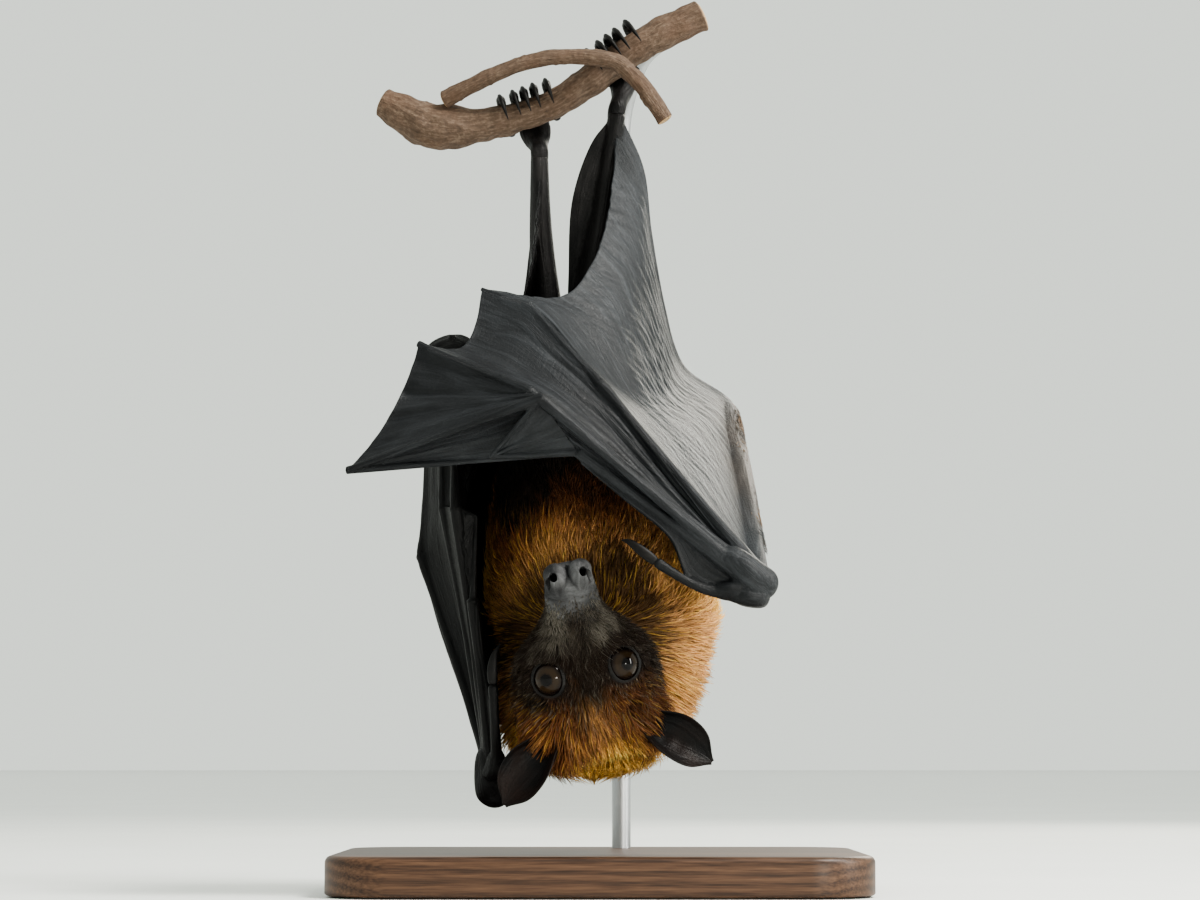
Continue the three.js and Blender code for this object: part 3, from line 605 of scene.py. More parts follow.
def nostril_holes():
    """The openings face forwards and up, and each trails off outwards in a slit, like a comma."""
    shells = []
    for way in (1, -1):
        hole = from_head(np.array([[6, 3.6, 0.2], [1.4, 4.7, 3.2], [-2.2, 5.6, 7.4]]) * [1, way, 1])
        slit = from_head(np.array([[-0.4, 5.5, 4.4], [2.6, 7, 4.2], [6.2, 7.6, 2.6]]) * [1, way, 1])
        shells.append(tube(hole, [0.8, 1.4, 1.8], HEAD[1], 30, 32, flat=0.82))
        shells.append(tube(slit, [1.35, 1.25, 0.6], HEAD[2], 30, 24, blunt=2))
    return shells


def eye_distance(points):
    """Millimetres from the nearer eye's axis, and far off behind the eyes."""
    local = to_head(points)
    far = []
    for way in (1, -1):
        centre, axis, _, _ = eye_axes(way)
        high = (local - centre) @ axis
        away = np.linalg.norm(local - centre - high[:, None] * axis, axis=-1)
        far.append(np.where(high > -1, away, 40))
    return np.minimum(*far)


def lid_shells():
    """A ring of skin round each eye: a circle of the opening's radius, drawn out a little to a point
    at both corners, carries a small oval section that leans over the ball."""
    shells = []
    for way in (1, -1):
        centre, axis, along, over = eye_axes(way)
        a, b = round_angles(110), round_angles(14)
        opening = LID_OPENING * (1 + 0.05 * np.cos(2 * a)) + 0.25
        height = np.sqrt(EYE_RADIUS**2 - (opening - 0.3) ** 2) + 0.1
        thick = 0.38 + 0.08 * np.cos(a - 0.6) + 0.04 * np.sin(9 * a) * np.sin(4 * a)
        out = np.cos(a)[:, None] * along + np.sin(a)[:, None] * over
        ring = centre + out * opening[:, None] + axis * height[:, None]
        across = unit(axis * 0.8 - out * 0.6)
        grid = ring[:, None] + thick[:, None, None] * (
            1.5 * np.cos(b)[None, :, None] * unit(out - 0.55 * axis)[:, None]
            + 0.85 * np.sin(b)[None, :, None] * across[:, None]
        )
        vertices = from_head(grid.reshape(-1, 3))
        n = np.arange(grid.shape[0] * grid.shape[1]).reshape(grid.shape[:2])
        right, down = np.roll(n, -1, axis=1), np.roll(n, -1, axis=0)
        quads = np.stack([n, right, np.roll(right, -1, axis=0), down], -1).reshape(-1, 4)
        shells.append(outward(vertices, quads, np.zeros((0, 3), int)))
    return shells


def ear_ends(way):
    """World places of an ear's root and tip."""
    return [from_head(place * [1, way, 1]) for place in (EAR_ROOT, EAR_TIP)]


def ear_middle(way, u, v):
    """A leaf rolled about its length: root + axis length u, and in the section a circle's arc of
    width / curl radius whose curl eases off towards the pointed tip."""
    root, tip = ear_ends(way)
    axis = unit(tip - root)
    opening = np.array([0, -1, 0.15]) + HEAD[1] * 0.35 * way
    opening = unit(opening - axis * (opening @ axis))
    across = np.cross(axis, opening)
    width = EAR_WIDTH / 2 * eased(EAR_OUTLINE, u)
    curl = 1.75 - u
    turn = (2 * v - 1) * curl
    radius = width / curl
    ridge = 0.16 * np.sin(u * 30) * bell(2 * v - 1.15, 0.35) * smooth(0.9, 0.5, u)
    along = np.linalg.norm(tip - root) * u * (1 - 0.04 * np.cos(turn))
    return (
        root + along[..., None] * axis + (radius * np.sin(turn) * way)[..., None] * across
        + (radius * (1 - np.cos(turn)) - 1.5 + ridge)[..., None] * opening
    )


def ear_shells():
    """Both ears, thicker along the middle and thinner to the edge and the tip."""
    u = np.linspace(-0.1, 1, 48)[:, None] + np.zeros((1, 36))
    v = np.zeros((48, 1)) + np.linspace(0, 1, 36)[None]
    thick = 0.55 + 0.75 * smooth(1, 0.6, np.abs(2 * v - 1)) * smooth(1.02, 0.7, u)
    return [sheet(ear_middle(way, u, v), thick) for way in (1, -1)]


# ---- legs and feet --------------------------------------------------------------------------------


def leg_shells(side):
    """A leg from hip to heel, with the loose skin along the inside of the right one."""

    def sinewy(t, a):
        """Share of the radius: low ridges that wind along the leg."""
        return 1 + 0.07 * np.cos(2 * a + 3 * t) + 0.04 * np.sin(3 * a)

    shells = [tube(LEGS[side], LEG_RADII, (1, 0, 0), 60, 28, blunt=4, form=sinewy)]
    if side == "right":
        shells.append(sheet(ruled(*LEG_SKIN, 60, 12), 0.8))
    return shells


def foot_round(side):
    """round(offset, degrees, radius) gives spots about the branch where this foot holds it."""
    share = GRIPS[side]
    middle = line_at(BRANCH_LINE, [share])[0]
    line = tangents(BRANCH_LINE, [share])[0]
    back = np.array([0.0, 1, 0])
    up = unit(np.cross(back, line))
    up = up if up[2] > 0 else -up
    radius = eased(BRANCH_RADII, np.array([share]))[0]

    def spot(offset, degrees, extra):
        """A spot at an angle from the back of the branch towards its top, off the bark by `extra`."""
        angle = np.radians(degrees)
        return middle + line * offset + (radius + extra) * (back * np.cos(angle) + up * np.sin(angle))

    return spot, line


def toe_line(side, toe, angles, lifts):
    """Spots of one toe at angles round the branch, each lifted off the bark."""
    spot, _ = foot_round(side)
    offset = (toe - (TOE_COUNT - 1) / 2) * TOE_PITCH
    offset *= 1 + 0.05 * abs(offset)
    return [spot(offset, a, TOE_RADIUS + 0.15 + lift) for a, lift in zip(angles, lifts)]


def foot_shells(side):
    """A sole from the heel to the branch that widens to the toes, and five jointed toes round it."""
    spot, line = foot_round(side)
    heel = np.array(LEGS[side][-1]) + [0, 1, 1.5]
    middle = heel + 0.55 * (spot(0, -30, 3.2) - heel) + [0, 2, 0]

    def widening(t, a):
        """Share of the radius: wider along the branch towards the toes, with five low ridges."""
        wide = (0.1 + 0.75 * smooth(0.3, 1.0, t)) * np.cos(a) ** 2
        return 1 + wide + 0.07 * np.cos(6 * a) * smooth(0.2, 0.7, t)

    def jointed(t, a):
        """Share of the radius: swellings at the joints and fine wrinkles on one side."""
        return 1 + 0.1 * np.cos(TAU * 3.5 * t) ** 4 + 0.03 * np.cos(30 * t) * (np.sin(a) > 0)

    start = heel + 0.35 * (np.array(LEGS[side][-2]) - heel) / 3
    sole = tube([start, heel, middle, spot(0, -15, 2.9)], [2.9, 3.0, 3.3, 3.1], line, 50, 40,
                blunt=3, form=widening)
    toes = [
        tube(toe_line(side, n, [-40, 0, 45, 95, 128], [0, 0, 0, 0.2, 2.2]),
             [1.55, 1.6, 1.5, 1.65, 1.4], line, 44, 12, form=jointed)
        for n in range(TOE_COUNT)
    ]
    return [sole, *toes]


def toe_claws(side):
    """Curved cones that are deeper than they are wide and come out of the toe tips."""
    _, line = foot_round(side)
    return [
        tube(toe_line(side, n, [108, 124, 152, 186], [1.2, 2.2, 2.8, 0.6]),
             [1.5, 1.7, 1.15, 0.25], line, 34, 16, flat=0.6)
        for n in range(TOE_COUNT)
    ]


# ---- wings --------------------------------------------------------------------------------------


def joints(side):
    """The named spots of a wing as arrays."""
    return {key: np.array(value, float) for key, value in ARMS[side].items()}


def part_way(a, b, share):
    """The spot at a share of the way from a to b."""
    return a + (b - a) * share


def webbed(rows, columns, thick=0.8, edge=1.9, near=0.12):
    """Thickness of a sail: it swells where it meets the bones along its two long edges."""
    v = np.linspace(0, 1, columns)[None]
    u = np.linspace(0, 1, rows)[:, None]
    return thick + edge * (bell(v, near) + bell(1 - v, near)) * smooth(0, 0.12, u) * smooth(1, 0.85, u)


def sagged(middle, way, depth, power=1.0):
    """Moves a sail's middle by depth sin(pi u) sin(pi v) along `way`."""
    u = np.linspace(0, 1, middle.shape[0])[:, None]
    v = np.linspace(0, 1, middle.shape[1])[None]
    swell = (np.sin(np.pi * v) ** power) * np.sin(np.pi * np.clip(u * 0.9 + 0.1, 0, 1)) ** 0.6
    return middle + (depth * swell)[..., None] * np.asarray(way, float)


def pleated(middle, count, height, seed, slant=0.0, growth=(0.6, 0.4)):
    """Lifts a sail in folds that run along it, or at a slant: sines of uneven width, strongest midway,
    whose height goes from growth[0] by growth[1] along the sail."""
    u = np.linspace(0, 1, middle.shape[0])[:, None]
    v = np.linspace(0, 1, middle.shape[1])[None]
    cross = v + slant * u
    normal = unit(np.cross(*[np.gradient(middle, axis=k) for k in (0, 1)]))
    drift = 0.5 * ripple(middle, 38, seed) + 0.2 * ripple(middle, 13, seed + 1)
    wave = np.sin(TAU * count * cross + 2.2 * drift)
    wave = wave + 0.45 * np.sin(TAU * 2.3 * count * cross + 3 * drift)
    fade = np.sin(np.pi * v) ** 0.6 * (0.35 + 0.65 * np.abs(ripple(middle, 55, seed + 2)))
    return middle + normal * (height * wave * fade * (growth[0] + growth[1] * u))[..., None]


def grid_size(side, *counts):
    """Rows and columns of a sail's grid on this wing."""
    return [int(n * FINENESS[side]) for n in counts]


FINGER_RADII = {"palm": [2.9, 2.0, 1.7, 2.3], "link": [2.2, 1.3, 1.1, 1.3], "last": [1.4, 0.9, 0.7]}


def finger_bones(side):
    """Palm bones from the wrist to the knuckles, then a link and a last bone for each finger."""
    j = joints(side)

    def bone(a, b, radii):
        """A straight tube that starts a little before a and ends a little past b."""
        line = unit(b - a)
        a, b = a - 0.8 * radii[0] * line, b + 0.4 * radii[-1] * line
        return tube([a, part_way(a, b, 0.5), b], radii, (0.3, 1, 0.2), 44, 16, blunt=2.5)

    knuckles = [j["k2"], j["k3"], j["k4"], j["k5"]]
    spread = [np.array([0.0, 0.8 * (n - 1.5), 2.2 * (n - 1.5)]) for n in range(4)]
    palms = [bone(j["wrist"] + s, k, FINGER_RADII["palm"]) for k, s in zip(knuckles, spread)]
    links = [bone(j[f"k{n}"], j[f"j{n}"], FINGER_RADII["link"]) for n in (3, 4, 5)]
    ends = [("k2", "tip2"), ("j3", "tip3"), ("j5", "tip5"), ("k3", "tip2")]
    return palms + links + [bone(j[a], j[b], FINGER_RADII["last"]) for a, b in ends]


def hand_sails(side):
    """The skin between the fingers, one sail to each pair of neighbouring stretches."""
    j = joints(side)
    away = np.array([0.0, 1, 0]) if side == "right" else np.array([0.75, 0.6, 0])
    start = {n: part_way(j["wrist"], j[f"k{n}"], 0.12) for n in (2, 3, 4, 5)}

    def strip(first, second, rows=80, columns=40, sag=1.2, folds=(2.6, 0.55, 3), **swell):
        """A sail between two bones: the ruled surface, sagged, then pleated."""
        rows, columns = grid_size(side, rows, columns)
        middle = pleated(sagged(ruled(first, second, rows, columns), away, sag), *folds)
        return sheet(middle, webbed(rows, columns, **swell))

    def scallop(low, high, hem, rows=70, columns=34, sag=3.0, pleats=(2, 0.3, 1), near=0.06):
        """A sail with a curved free edge: the surface between four lines, sagged, then pleated."""
        start = [low[0], part_way(low[0], high[0], 0.5), high[0]]
        rows, columns = grid_size(side, rows, columns)
        middle = patch(low, high, start, [low[-1], *hem, high[-1]], rows, columns)
        return sheet(pleated(sagged(middle, away, sag), *pleats), webbed(rows, columns, near=near))

    def straight(*stops):
        """The stops with one more spot half way to each next, which keeps a smooth line on the bones."""
        line = [spot for a, b in zip(stops, stops[1:]) for spot in (a, part_way(a, b, 0.5))]
        return [*line, stops[-1]]

    back3 = part_way(j["tip3"], j["j3"], 0.94)
    return [
        strip([start[2], j["k2"]], [start[3], j["k3"]], sag=1.6),
        strip([j["k2"], j["tip2"]], [j["k3"], part_way(j["k3"], j["tip2"], 0.97)],
              rows=60, sag=0.8, folds=(1.6, 0.35, 4), edge=0.8),
        strip([start[3], j["k3"]], [start[4], j["k4"]], columns=16, sag=0.5, folds=(1, 0.2, 5)),
        scallop([j["k3"], j["j3"]], [j["k4"], j["j4"]], j["hem34"],
                columns=50, pleats=(3.4, 0.75, 5)),
        scallop(straight(start[4], j["k4"], j["j4"]), straight(start[5], j["k5"], j["j5"], j["tip5"]),
                j["hem45"], rows=170, columns=56, sag=3.4, pleats=(3.0, 0.42, 9, 0.0, (1.0, -0.4))),
        strip([j["k3"], part_way(j["k3"], j["j3"], 0.93)], [j["tip3"], back3],
              sag=3.0, edge=0.8, folds=(2, 0.3, 7)),
    ]


KNUCKLE_FOLDS = {  # the doubled skin at the wrist and over the folded finger tips: spots and radii
    "right": ([(43, -76.5, 104), (51, -76.5, 101.8), (57.5, -75.5, 102.3)], [3.2, 4.1, 3.8], 44, 30),
    "left": ([(-61, -24, 183), (-57, -25, 190), (-50, -28, 191.4), (-45, -32, 185)],
             [3, 4.4, 5.0, 3.8], 54, 36),
}


def hand_shells(side):
    """Wrist, ball of the thumb, thumb and its web, a fold of doubled skin, fingers and sails."""
    j = joints(side)
    toward = unit(j["k3"] - j["wrist"])

    def knobbly(t, a):
        """Share of the radius: low bumps that wind round."""
        low = 1 + 0.07 * np.cos(3 * a + 4 * t) + 0.05 * np.sin(2 * a - 9 * t)
        return low + 0.03 * np.cos(7 * a + 3 * t)

    wrist = tube([j["wrist"] - 7 * toward, j["wrist"], j["wrist"] + 16 * toward], [5.2, 6.2, 3.6],
                 (0, 1, 0), 54, 40, flat=0.92, form=knobbly)
    edge = [*j["web"], *j["thumb"][2::-1]]
    web = sheet(ruled([j["k2"], j["wrist"]], edge, 50, 14), webbed(50, 14, edge=1.2))
    thumb = tube(j["thumb"], [3.2, 2.0, 1.55, 1.8], (0, 1, 0), 50, 20)
    root = part_way(j["wrist"], np.array(j["thumb"][0]), 0.7)
    ball = tube([root, part_way(root, j["thumb"][1], 0.5), j["thumb"][1]], [4.9, 3.9, 2.2],
                (0, 1, 0), 40, 24, form=knobbly)
    line, radii, rings, sides = KNUCKLE_FOLDS[side]
    fold = tube(line, radii, (0, 1, 0), rings, sides, form=knobbly)
    return [wrist, ball, web, thumb, fold, *finger_bones(side), *hand_sails(side)]


def thumb_claw(side):
    """A curved cone on the thumb that is deeper than it is wide."""
    return tube(ARMS[side]["claw"], [1.6, 1.85, 1.2, 0.25], (0, 1, 0), 34, 18, flat=0.62)


def arm_shells(side):
    """Upper arm, forearm, the great sail from little finger to ankle and flank, and the small one in
    the bend of the elbow."""
    j = joints(side)
    way = 1 if side == "right" else -1
    shoulder, elbow, wrist = j["shoulder"], j["elbow"], j["wrist"]

    def muscled(t, a):
        """Share of the radius: a slightly oval section with sinews that wind along it."""
        return 1 + 0.05 * np.cos(2 * a + 1) + 0.03 * np.sin(5 * a + 6 * t)

    upper = tube([part_way(shoulder, elbow, s) for s in (0, 0.5, 1)], [7, 5.5, 5], (1, 0, 0), 50, 26,
                 form=muscled)
    fore = tube([part_way(elbow, wrist, s) for s in (0, 0.35, 1)], [5.3, 5.7, 4], (0, 0, 1), 70, 26,
                form=muscled)
    little = [j["tip5"], j["j5"], j["k5"], wrist]
    round_it = np.array([4.2 * way, -1.5, 2.2])
    outer = [j["ankle"], *j["fold"], elbow + round_it, part_way(elbow, wrist, 0.5) + round_it,
             wrist + 0.5 * round_it]
    free = [j["tip5"], *j["margin"], j["ankle"]]
    point = [wrist, wrist + 0.1, wrist + 0.2]
    rows, columns = grid_size(side, 150, 130)
    front = patch(little, outer, free, point, rows, columns, keep=0.965)
    front = sagged(front, [0, 0.6, 0], 1.5 if side == "right" else 0.8)
    front = pleated(front, 9, 0.2, 21, -0.45, (1.2, -1.0))
    front = pleated(front, 21, 0.17, 24, -1.2, (1.3, -1.4))
    rear = [j["ankle"], *j["fold"], elbow, part_way(shoulder, elbow, 0.5), shoulder]
    flank = [j["ankle"], *[np.array(LEGS[side][k]) for k in (3, 2, 1)], *j["flank"], shoulder]
    u = np.linspace(0.02, 0.98, 60)
    back = mix(line_at(rear, u)[:, None], line_at(flank, u)[:, None], np.linspace(0, 1, 24)[None])
    back = pleated(sagged(back, [way, 0.6, 0], 3.0), 4, 0.4, 31)
    bend = ruled([part_way(shoulder, elbow, s) for s in (0, 0.45, 0.8)],
                 [part_way(wrist, elbow, s) for s in (0.1, 0.45, 0.8)], 30, 18)
    return [
        upper, fore,
        sheet(front, webbed(rows, columns, edge=1.0, near=0.03)),
        sheet(back, 0.8),
        sheet(sagged(bend, [-way, 0, 0], 2.0), 0.8),
    ]


# ---- colours, linear red, green and blue --------------------------------------------------------

GOLD = (0.58, 0.315, 0.135)
STRAW = (0.74, 0.445, 0.095)
# Painted light: a honey gold, brighter than the nape's own colour, as if lit from behind.
BACKLIT_HONEY = (0.88, 0.50, 0.15)
RUST = (0.22, 0.082, 0.030)
UMBER = (0.0165, 0.0100, 0.0072)
SOOT = (0.0065, 0.0060, 0.0062)
CHARCOAL = (0.0095, 0.0100, 0.0115)
# Painted light: the pale grey of the right wing's skin where light falls on it; it also tints the right
# forearm's hair.
LIT_SLATE = (0.056, 0.060, 0.066)
SILVER = (0.17, 0.155, 0.13)
TAN = (0.20, 0.125, 0.075)


def torso_colour(points):
    """Golden mantle round the neck and shoulders, rusty towards the dark brown belly and back, paler
    partly as painted backlight.
    """
    drift = 5 * ripple(points, 34, 3) + 2 * ripple(points, 8, 4)
    edge = 140 - 30 * smooth(4, -38, points[:, 0]) * smooth(10, -20, points[:, 1])
    above = points[:, 2] + drift - edge
    deep = mix(GOLD, RUST, 0.15 + 0.85 * smooth(-34, 0, above))
    deep = mix(deep, UMBER, 0.45 * smooth(0.95, 1.5, ripple(points, 14, 18)) * smooth(-45, -20, above))
    # Painted light, in part: paler straw towards both sides of the mantle and round the neck, a backlit
    # fringe over the coat's own paler gold.
    pale = 0.85 * smooth(18, 42, np.abs(points[:, 0] - 1 + drift)) * smooth(0, -30, above)
    pale = np.maximum(pale, 0.6 * smooth(75, 50, points[:, 2] + drift))
    dark = mix(SOOT, UMBER, np.clip(0.6 + 0.4 * ripple(points, 20, 5), 0, 1))
    back, side, rise = to_head(points).T
    jowl = 0.8 * smooth(26, 21, np.hypot(side, 1.25 * (back - 36)) + 0.4 * drift) * smooth(-34, -26, rise)
    return mix(mix(dark, mix(deep, STRAW, pale), smooth(12, -8, above)), UMBER, jowl)


def head_colour(points):
    """A dark mask over the muzzle and round the eyes, a rusty crown and a golden nape painted bright as if
    backlit.
    """
    back, side, rise = to_head(points).T
    wide = np.maximum(np.abs(side) - 9, 0)
    drift = 3 * ripple(points, 16, 6) + 1.5 * ripple(points, 5, 7)
    parting = 0.75 + 0.25 * smooth(4, 0, np.abs(side))
    face = mix(UMBER, RUST, smooth(37, 55, back + drift - 0.45 * wide) * parting)
    silver = (0.3 + 0.7 * smooth(1, 7, np.abs(side))) * smooth(28, 14, back + drift)
    face = mix(face, SILVER, 0.8 * (silver * smooth(-2, 4, rise)))
    streak = 0.35 * bell(side, 3.5) * smooth(36, 50, back + drift)
    # Painted light: the nape's golden fringe turns bright honey here, as where light shines through it
    # from behind.
    nape = smooth(53, 65, back + drift - 0.15 * wide - 0.2 * np.minimum(rise, 0))
    return mix(mix(face, GOLD, streak), BACKLIT_HONEY, nape)


def bare_colour(part, points):
    """Colour of the naked skin of each part, with painted light on the right wing and painted shade on the
    left.
    """
    fine = 0.5 + 0.5 * np.clip(ripple(points, 9, 8), -1, 1)
    broad = 0.5 + 0.5 * np.clip(ripple(points, 60, 9), -1, 1)
    if part == "muzzle":
        return mix((0.028, 0.028, 0.030), (0.120, 0.120, 0.124), fine)
    if part == "lids":
        return mix((0.008, 0.007, 0.007), (0.022, 0.020, 0.019), fine)
    if part == "ear":
        return mix(SOOT, (0.015, 0.007, 0.005), fine) * 0.8
    if part == "foot":
        return mix(SOOT, (0.022, 0.020, 0.020), fine)
    # Painted light: the right arm's sail gets a paler mix than the left wing, as where light falls on it.
    if part == "arm_right":
        skin = mix(CHARCOAL, LIT_SLATE, 0.4 + 0.35 * broad + 0.1 * fine)
        j = joints("right")
        line = j["wrist"] - j["elbow"]
        share = (points - j["elbow"]) @ line / (line @ line)
        off = points - j["elbow"] - np.clip(share, 0, 1)[:, None] * line
        fuzz = smooth(16, 2, np.linalg.norm(off - [6, -2, 3], axis=-1) + 2 * ripple(points, 12, 15))
        return mix(skin, TAN, 0.2 * fuzz * smooth(-0.05, 0.2, share) * smooth(0.85, 0.45, share))
    # Painted light on the right hand's skin too, as on the arm.
    if part == "hand_right":
        x, _, z = points.T
        # Painted shade under the line from the wrist to the first knuckle, which rises 0.714 for 1 across:
        # the thumb and the lower front sail.
        below = smooth(1, 9, 107 + 0.714 * (53.5 - x) - z)
        shade = 1 - (0.25 + 0.35 * smooth(-12, 0, x)) * below
        return mix(CHARCOAL, LIT_SLATE, 0.16 + 0.4 * broad + 0.1 * fine) * shade[:, None]
    # Painted shade: the left hand and arm get a darker copy of the same skin, scaled to 0.55.
    return mix(SOOT, CHARCOAL, 0.5 * broad) * 0.55


# ---- the coat -----------------------------------------------------------------------------------


def sampled(spot, count, weight):
    """Random places (u, v) on a surface, as dense as `weight` over its area."""
    u, v = rng.random((2, count * 6))
    v = 0.003 + 0.994 * v
    step = 1e-3
    across = (spot(u + step, v) - spot(u - step, v)) / (2 * step)
    along = (spot(u, v + step) - spot(u, v - step)) / (2 * step)
    area = np.linalg.norm(np.cross(across, along), axis=-1) * weight(spot(u, v))
    chosen = rng.choice(len(u), size=count, replace=False, p=area / area.sum())
    return u[chosen], v[chosen], across[chosen], along[chosen]


def steered(across, along, flow, run):
    """The change of (u, v) that goes `run` millimetres along the surface in the way of `flow`."""
    aa, ab, bb = (across * across).sum(-1), (across * along).sum(-1), (along * along).sum(-1)
    fa, fb = (flow * across).sum(-1), (flow * along).sum(-1)
    det = np.maximum(aa * bb - ab * ab, 1e-6)
    du, dv = (fa * bb - fb * ab) / det, (fb * aa - fa * ab) / det
    length = np.linalg.norm(across * du[:, None] + along * dv[:, None], axis=-1)
    scale = run / np.maximum(length, 1e-6)
    return du * scale, dv * scale


STATIONS = np.array([0, 0.35, 0.7, 1.0])  # spots along a tuft, root to tip
GIRTH = np.array([0.8, 1.0, 0.62, 0.0])
SHADES = np.array([0.32, 0.75, 1.15, 1.45])  # of the tuft's own colour
BRIGHTEST = 0.9


def tuft_mesh(name, path, normal, width, colour, root_uv):
    """Joined tufts. Each has three sides and follows its own path of four spots, three rings of
    three corners and a tip; path[tuft, station], width in millimetres at its thickest."""
    count = len(path)
    tangent = unit(np.gradient(path, axis=1))
    across = unit(np.cross(tangent, normal[:, None]))
    rise = np.cross(across, tangent)
    a = TAU * np.array([0.25, 0.5833, 0.9167])
    r = 0.5 * width[:, None] * GIRTH
    ring = (
        path[:, :3, None] + (r[:, :3, None] * np.cos(a))[..., None] * across[:, :3, None]
        + (0.6 * r[:, :3, None] * np.sin(a))[..., None] * rise[:, :3, None]
    )
    vertices = np.concatenate([ring.reshape(count, 9, 3), path[:, 3:]], 1).reshape(-1, 3)
    base = (10 * np.arange(count))[:, None, None]
    k = np.arange(3)
    n = (k + 1) % 3
    quads = np.stack([k, n, n + 3, k + 3], -1)
    quads = (np.concatenate([quads, quads + 3])[None] + base).reshape(-1, 4)
    tips = np.stack([k + 6, n + 6, np.full(3, 9)], -1)
    triangles = (np.concatenate([tips, [[2, 1, 0]]])[None] + base).reshape(-1, 3)
    shade = np.repeat(SHADES, [3, 3, 3, 1])
    tint = np.minimum(colour[:, None] * shade[None, :, None], BRIGHTEST)
    tint = np.concatenate([tint, np.ones((count, 10, 1))], -1).reshape(-1, 4)
    piece = mesh_piece(name, vertices, quads, triangles, attributes={"tint": tint})
    offset = np.concatenate([np.stack([np.tile(k / 2, 3), np.repeat(STATIONS[:3], 3)], -1), [[0.5, 1]]])
    uv = (0.004 + 0.989 * root_uv[:, None] + 0.003 * offset).reshape(-1, 2)
    layer = piece.data.uv_layers.new(name="OFBake")
    corner = np.zeros(len(piece.data.loops), np.int32)
    piece.data.loops.foreach_get("vertex_index", corner)
    layer.data.foreach_set("uv", uv[corner].astype(np.float32).ravel())
    return piece


def coat(name, count, spot, weight, dress, keep, pieces):
    """Tufts over a surface. spot(u, v, lift) goes from the skin, lift 0, to the coat's tips, lift 1;
    dress(points) gives the flow, length, width, colour and how far the tips lift."""
    count = int(count * COAT_SHARE)
    u, v, across, along = sampled(lambda u, v: spot(u, v, 0 * u), count, weight)
    root = spot(u, v, 0 * u)
    flow, length, width, colour, lift = dress(root)
    reach = np.maximum(lift - 1, 0)
    normal = unit(spot(u, v, 1 + 0 * u) - root)
    lean = 0.34 * ripple(root, 9, 12) + 0.16 * rng.normal(size=len(u))
    flow = unit(flow + np.cross(normal, flow) * lean[:, None])
    room = np.linalg.norm(spot(u, v, 1 + 0 * u) - root, axis=-1)
    length = length * rng.uniform(0.7, 1.15, len(u))
    stray = rng.random(len(u)) < 0.06
    length = length * np.where(stray, 1.25, 1)
    lift = lift * (1 + 0.16 * ripple(root, 7, 13)) * rng.uniform(0.7, 1.1, len(u))
    lift = lift * np.where(stray, 1.3, 1)
    lift = np.maximum(np.minimum(lift, np.where(stray, 1.15, 1.02) + reach), 0.03)
    run = np.sqrt(np.maximum(length**2 - (lift * room) ** 2, (0.35 * length) ** 2))
    du, dv = steered(across, along, flow, run)
    path = []
    for s in STATIONS:
        high = lift * s * (1.6 - 0.6 * s) - 0.06 * (s == 0)
        path.append(spot(u + du * s, np.clip(v + dv * s, 0.002, 0.998), high))
    path = np.stack(path, 1)
    tone = rng.uniform(0.72, 1.28, len(u)) * (1 + 0.12 * ripple(root, 5, 14))
    uv = np.stack([u % 1, v], -1)
    kept = keep(root, path[:, 3])
    path, normal, width, colour, tone, uv = (x[kept] for x in (path, normal, width, colour, tone, uv))
    made = []
    for k in range(pieces):
        part = slice(k, None, pieces)
        made.append(tuft_mesh(
            f"{name}_{k + 1}", path[part], normal[part], width[part],
            (colour * tone[:, None])[part], uv[part],
        ))
    return made


def torso_coat_spot(u, v, lift):
    """A spot on the trunk between the skin and the coat's tips."""
    return torso_spot(u, v, 1 - lift)


def head_coat_spot(u, v, lift):
    """A spot on the head: the skin with its relief, plus lift times the way from skin to tips."""
    back = 9 + 63 * np.asarray(v)
    skin = head_local(u, back, HEAD_SKIN)
    fur = head_local(u, back + 7 * smooth(50, 72, back), HEAD_COAT)
    return from_head(head_relief(skin) + (fur - skin) * np.asarray(lift)[..., None])


def forearm_spot(u, v, lift):
    """The right forearm where it bears hair: a round tube of the arm's own radius."""
    j = joints("right")
    line = j["wrist"] - j["elbow"]
    across = unit(np.cross(line, [0, 0, 1.0]))
    rise = unit(np.cross(across, line))
    a = TAU * np.asarray(u)
    size = 5.0 - 1.2 * np.asarray(v) + 1.8 * lift
    centre = j["elbow"] + np.asarray(v)[..., None] * line + [0.5, -0.5, 0.6]
    way = np.cos(a)[..., None] * across + np.sin(a)[..., None] * rise
    return centre + size[..., None] * way


def forearm_dress(points):
    """Thin tan hair that lies along the forearm towards the wrist."""
    j = joints("right")
    flow = np.tile(unit(j["wrist"] - j["elbow"] + [12, 0, 0]), (len(points), 1))
    tint = mix(TAN, LIT_SLATE, np.clip(0.5 + 0.5 * ripple(points, 12, 15), 0, 1))
    ones = np.ones(len(points))
    return flow, 5 * ones, 0.2 * ones, tint, 0.35 * ones


def forearm_open(root, tip):
    """Tufts on the outer side of the forearm, fewer towards the sail."""
    j = joints("right")
    line = j["wrist"] - j["elbow"]
    share = (root - j["elbow"]) @ line / (line**2).sum()
    edge = root[:, 0] - (j["elbow"] + share[:, None] * line)[:, 0]
    thin = rng.random(len(root)) < smooth(1, 5, edge)
    return (share > 0.04) & (share < 0.84) & (edge > 1.5) & thin


def torso_dress(points):
    """Hair runs away from the face round the neck and towards the rump further up."""
    face = from_head([30, 0, 0])
    radial = unit((points - face) * [1, 0.4, 1])
    flow = unit(mix(radial, [0.0, 0, 1], smooth(84, 124, points[:, 2])) + [0, 0, 1e-6])
    mantle = smooth(150, 110, points[:, 2])
    length = 8 + 8 * mantle - 2 * smooth(170, 200, points[:, 2])
    width = 0.85 - 0.15 * mantle
    lift = 0.62 + 0.28 * mantle
    bright = 0.35 * (rng.random(len(points)) < 0.2) * smooth(132, 112, points[:, 2])
    return flow, length, width, mix(torso_colour(points), STRAW, bright), lift


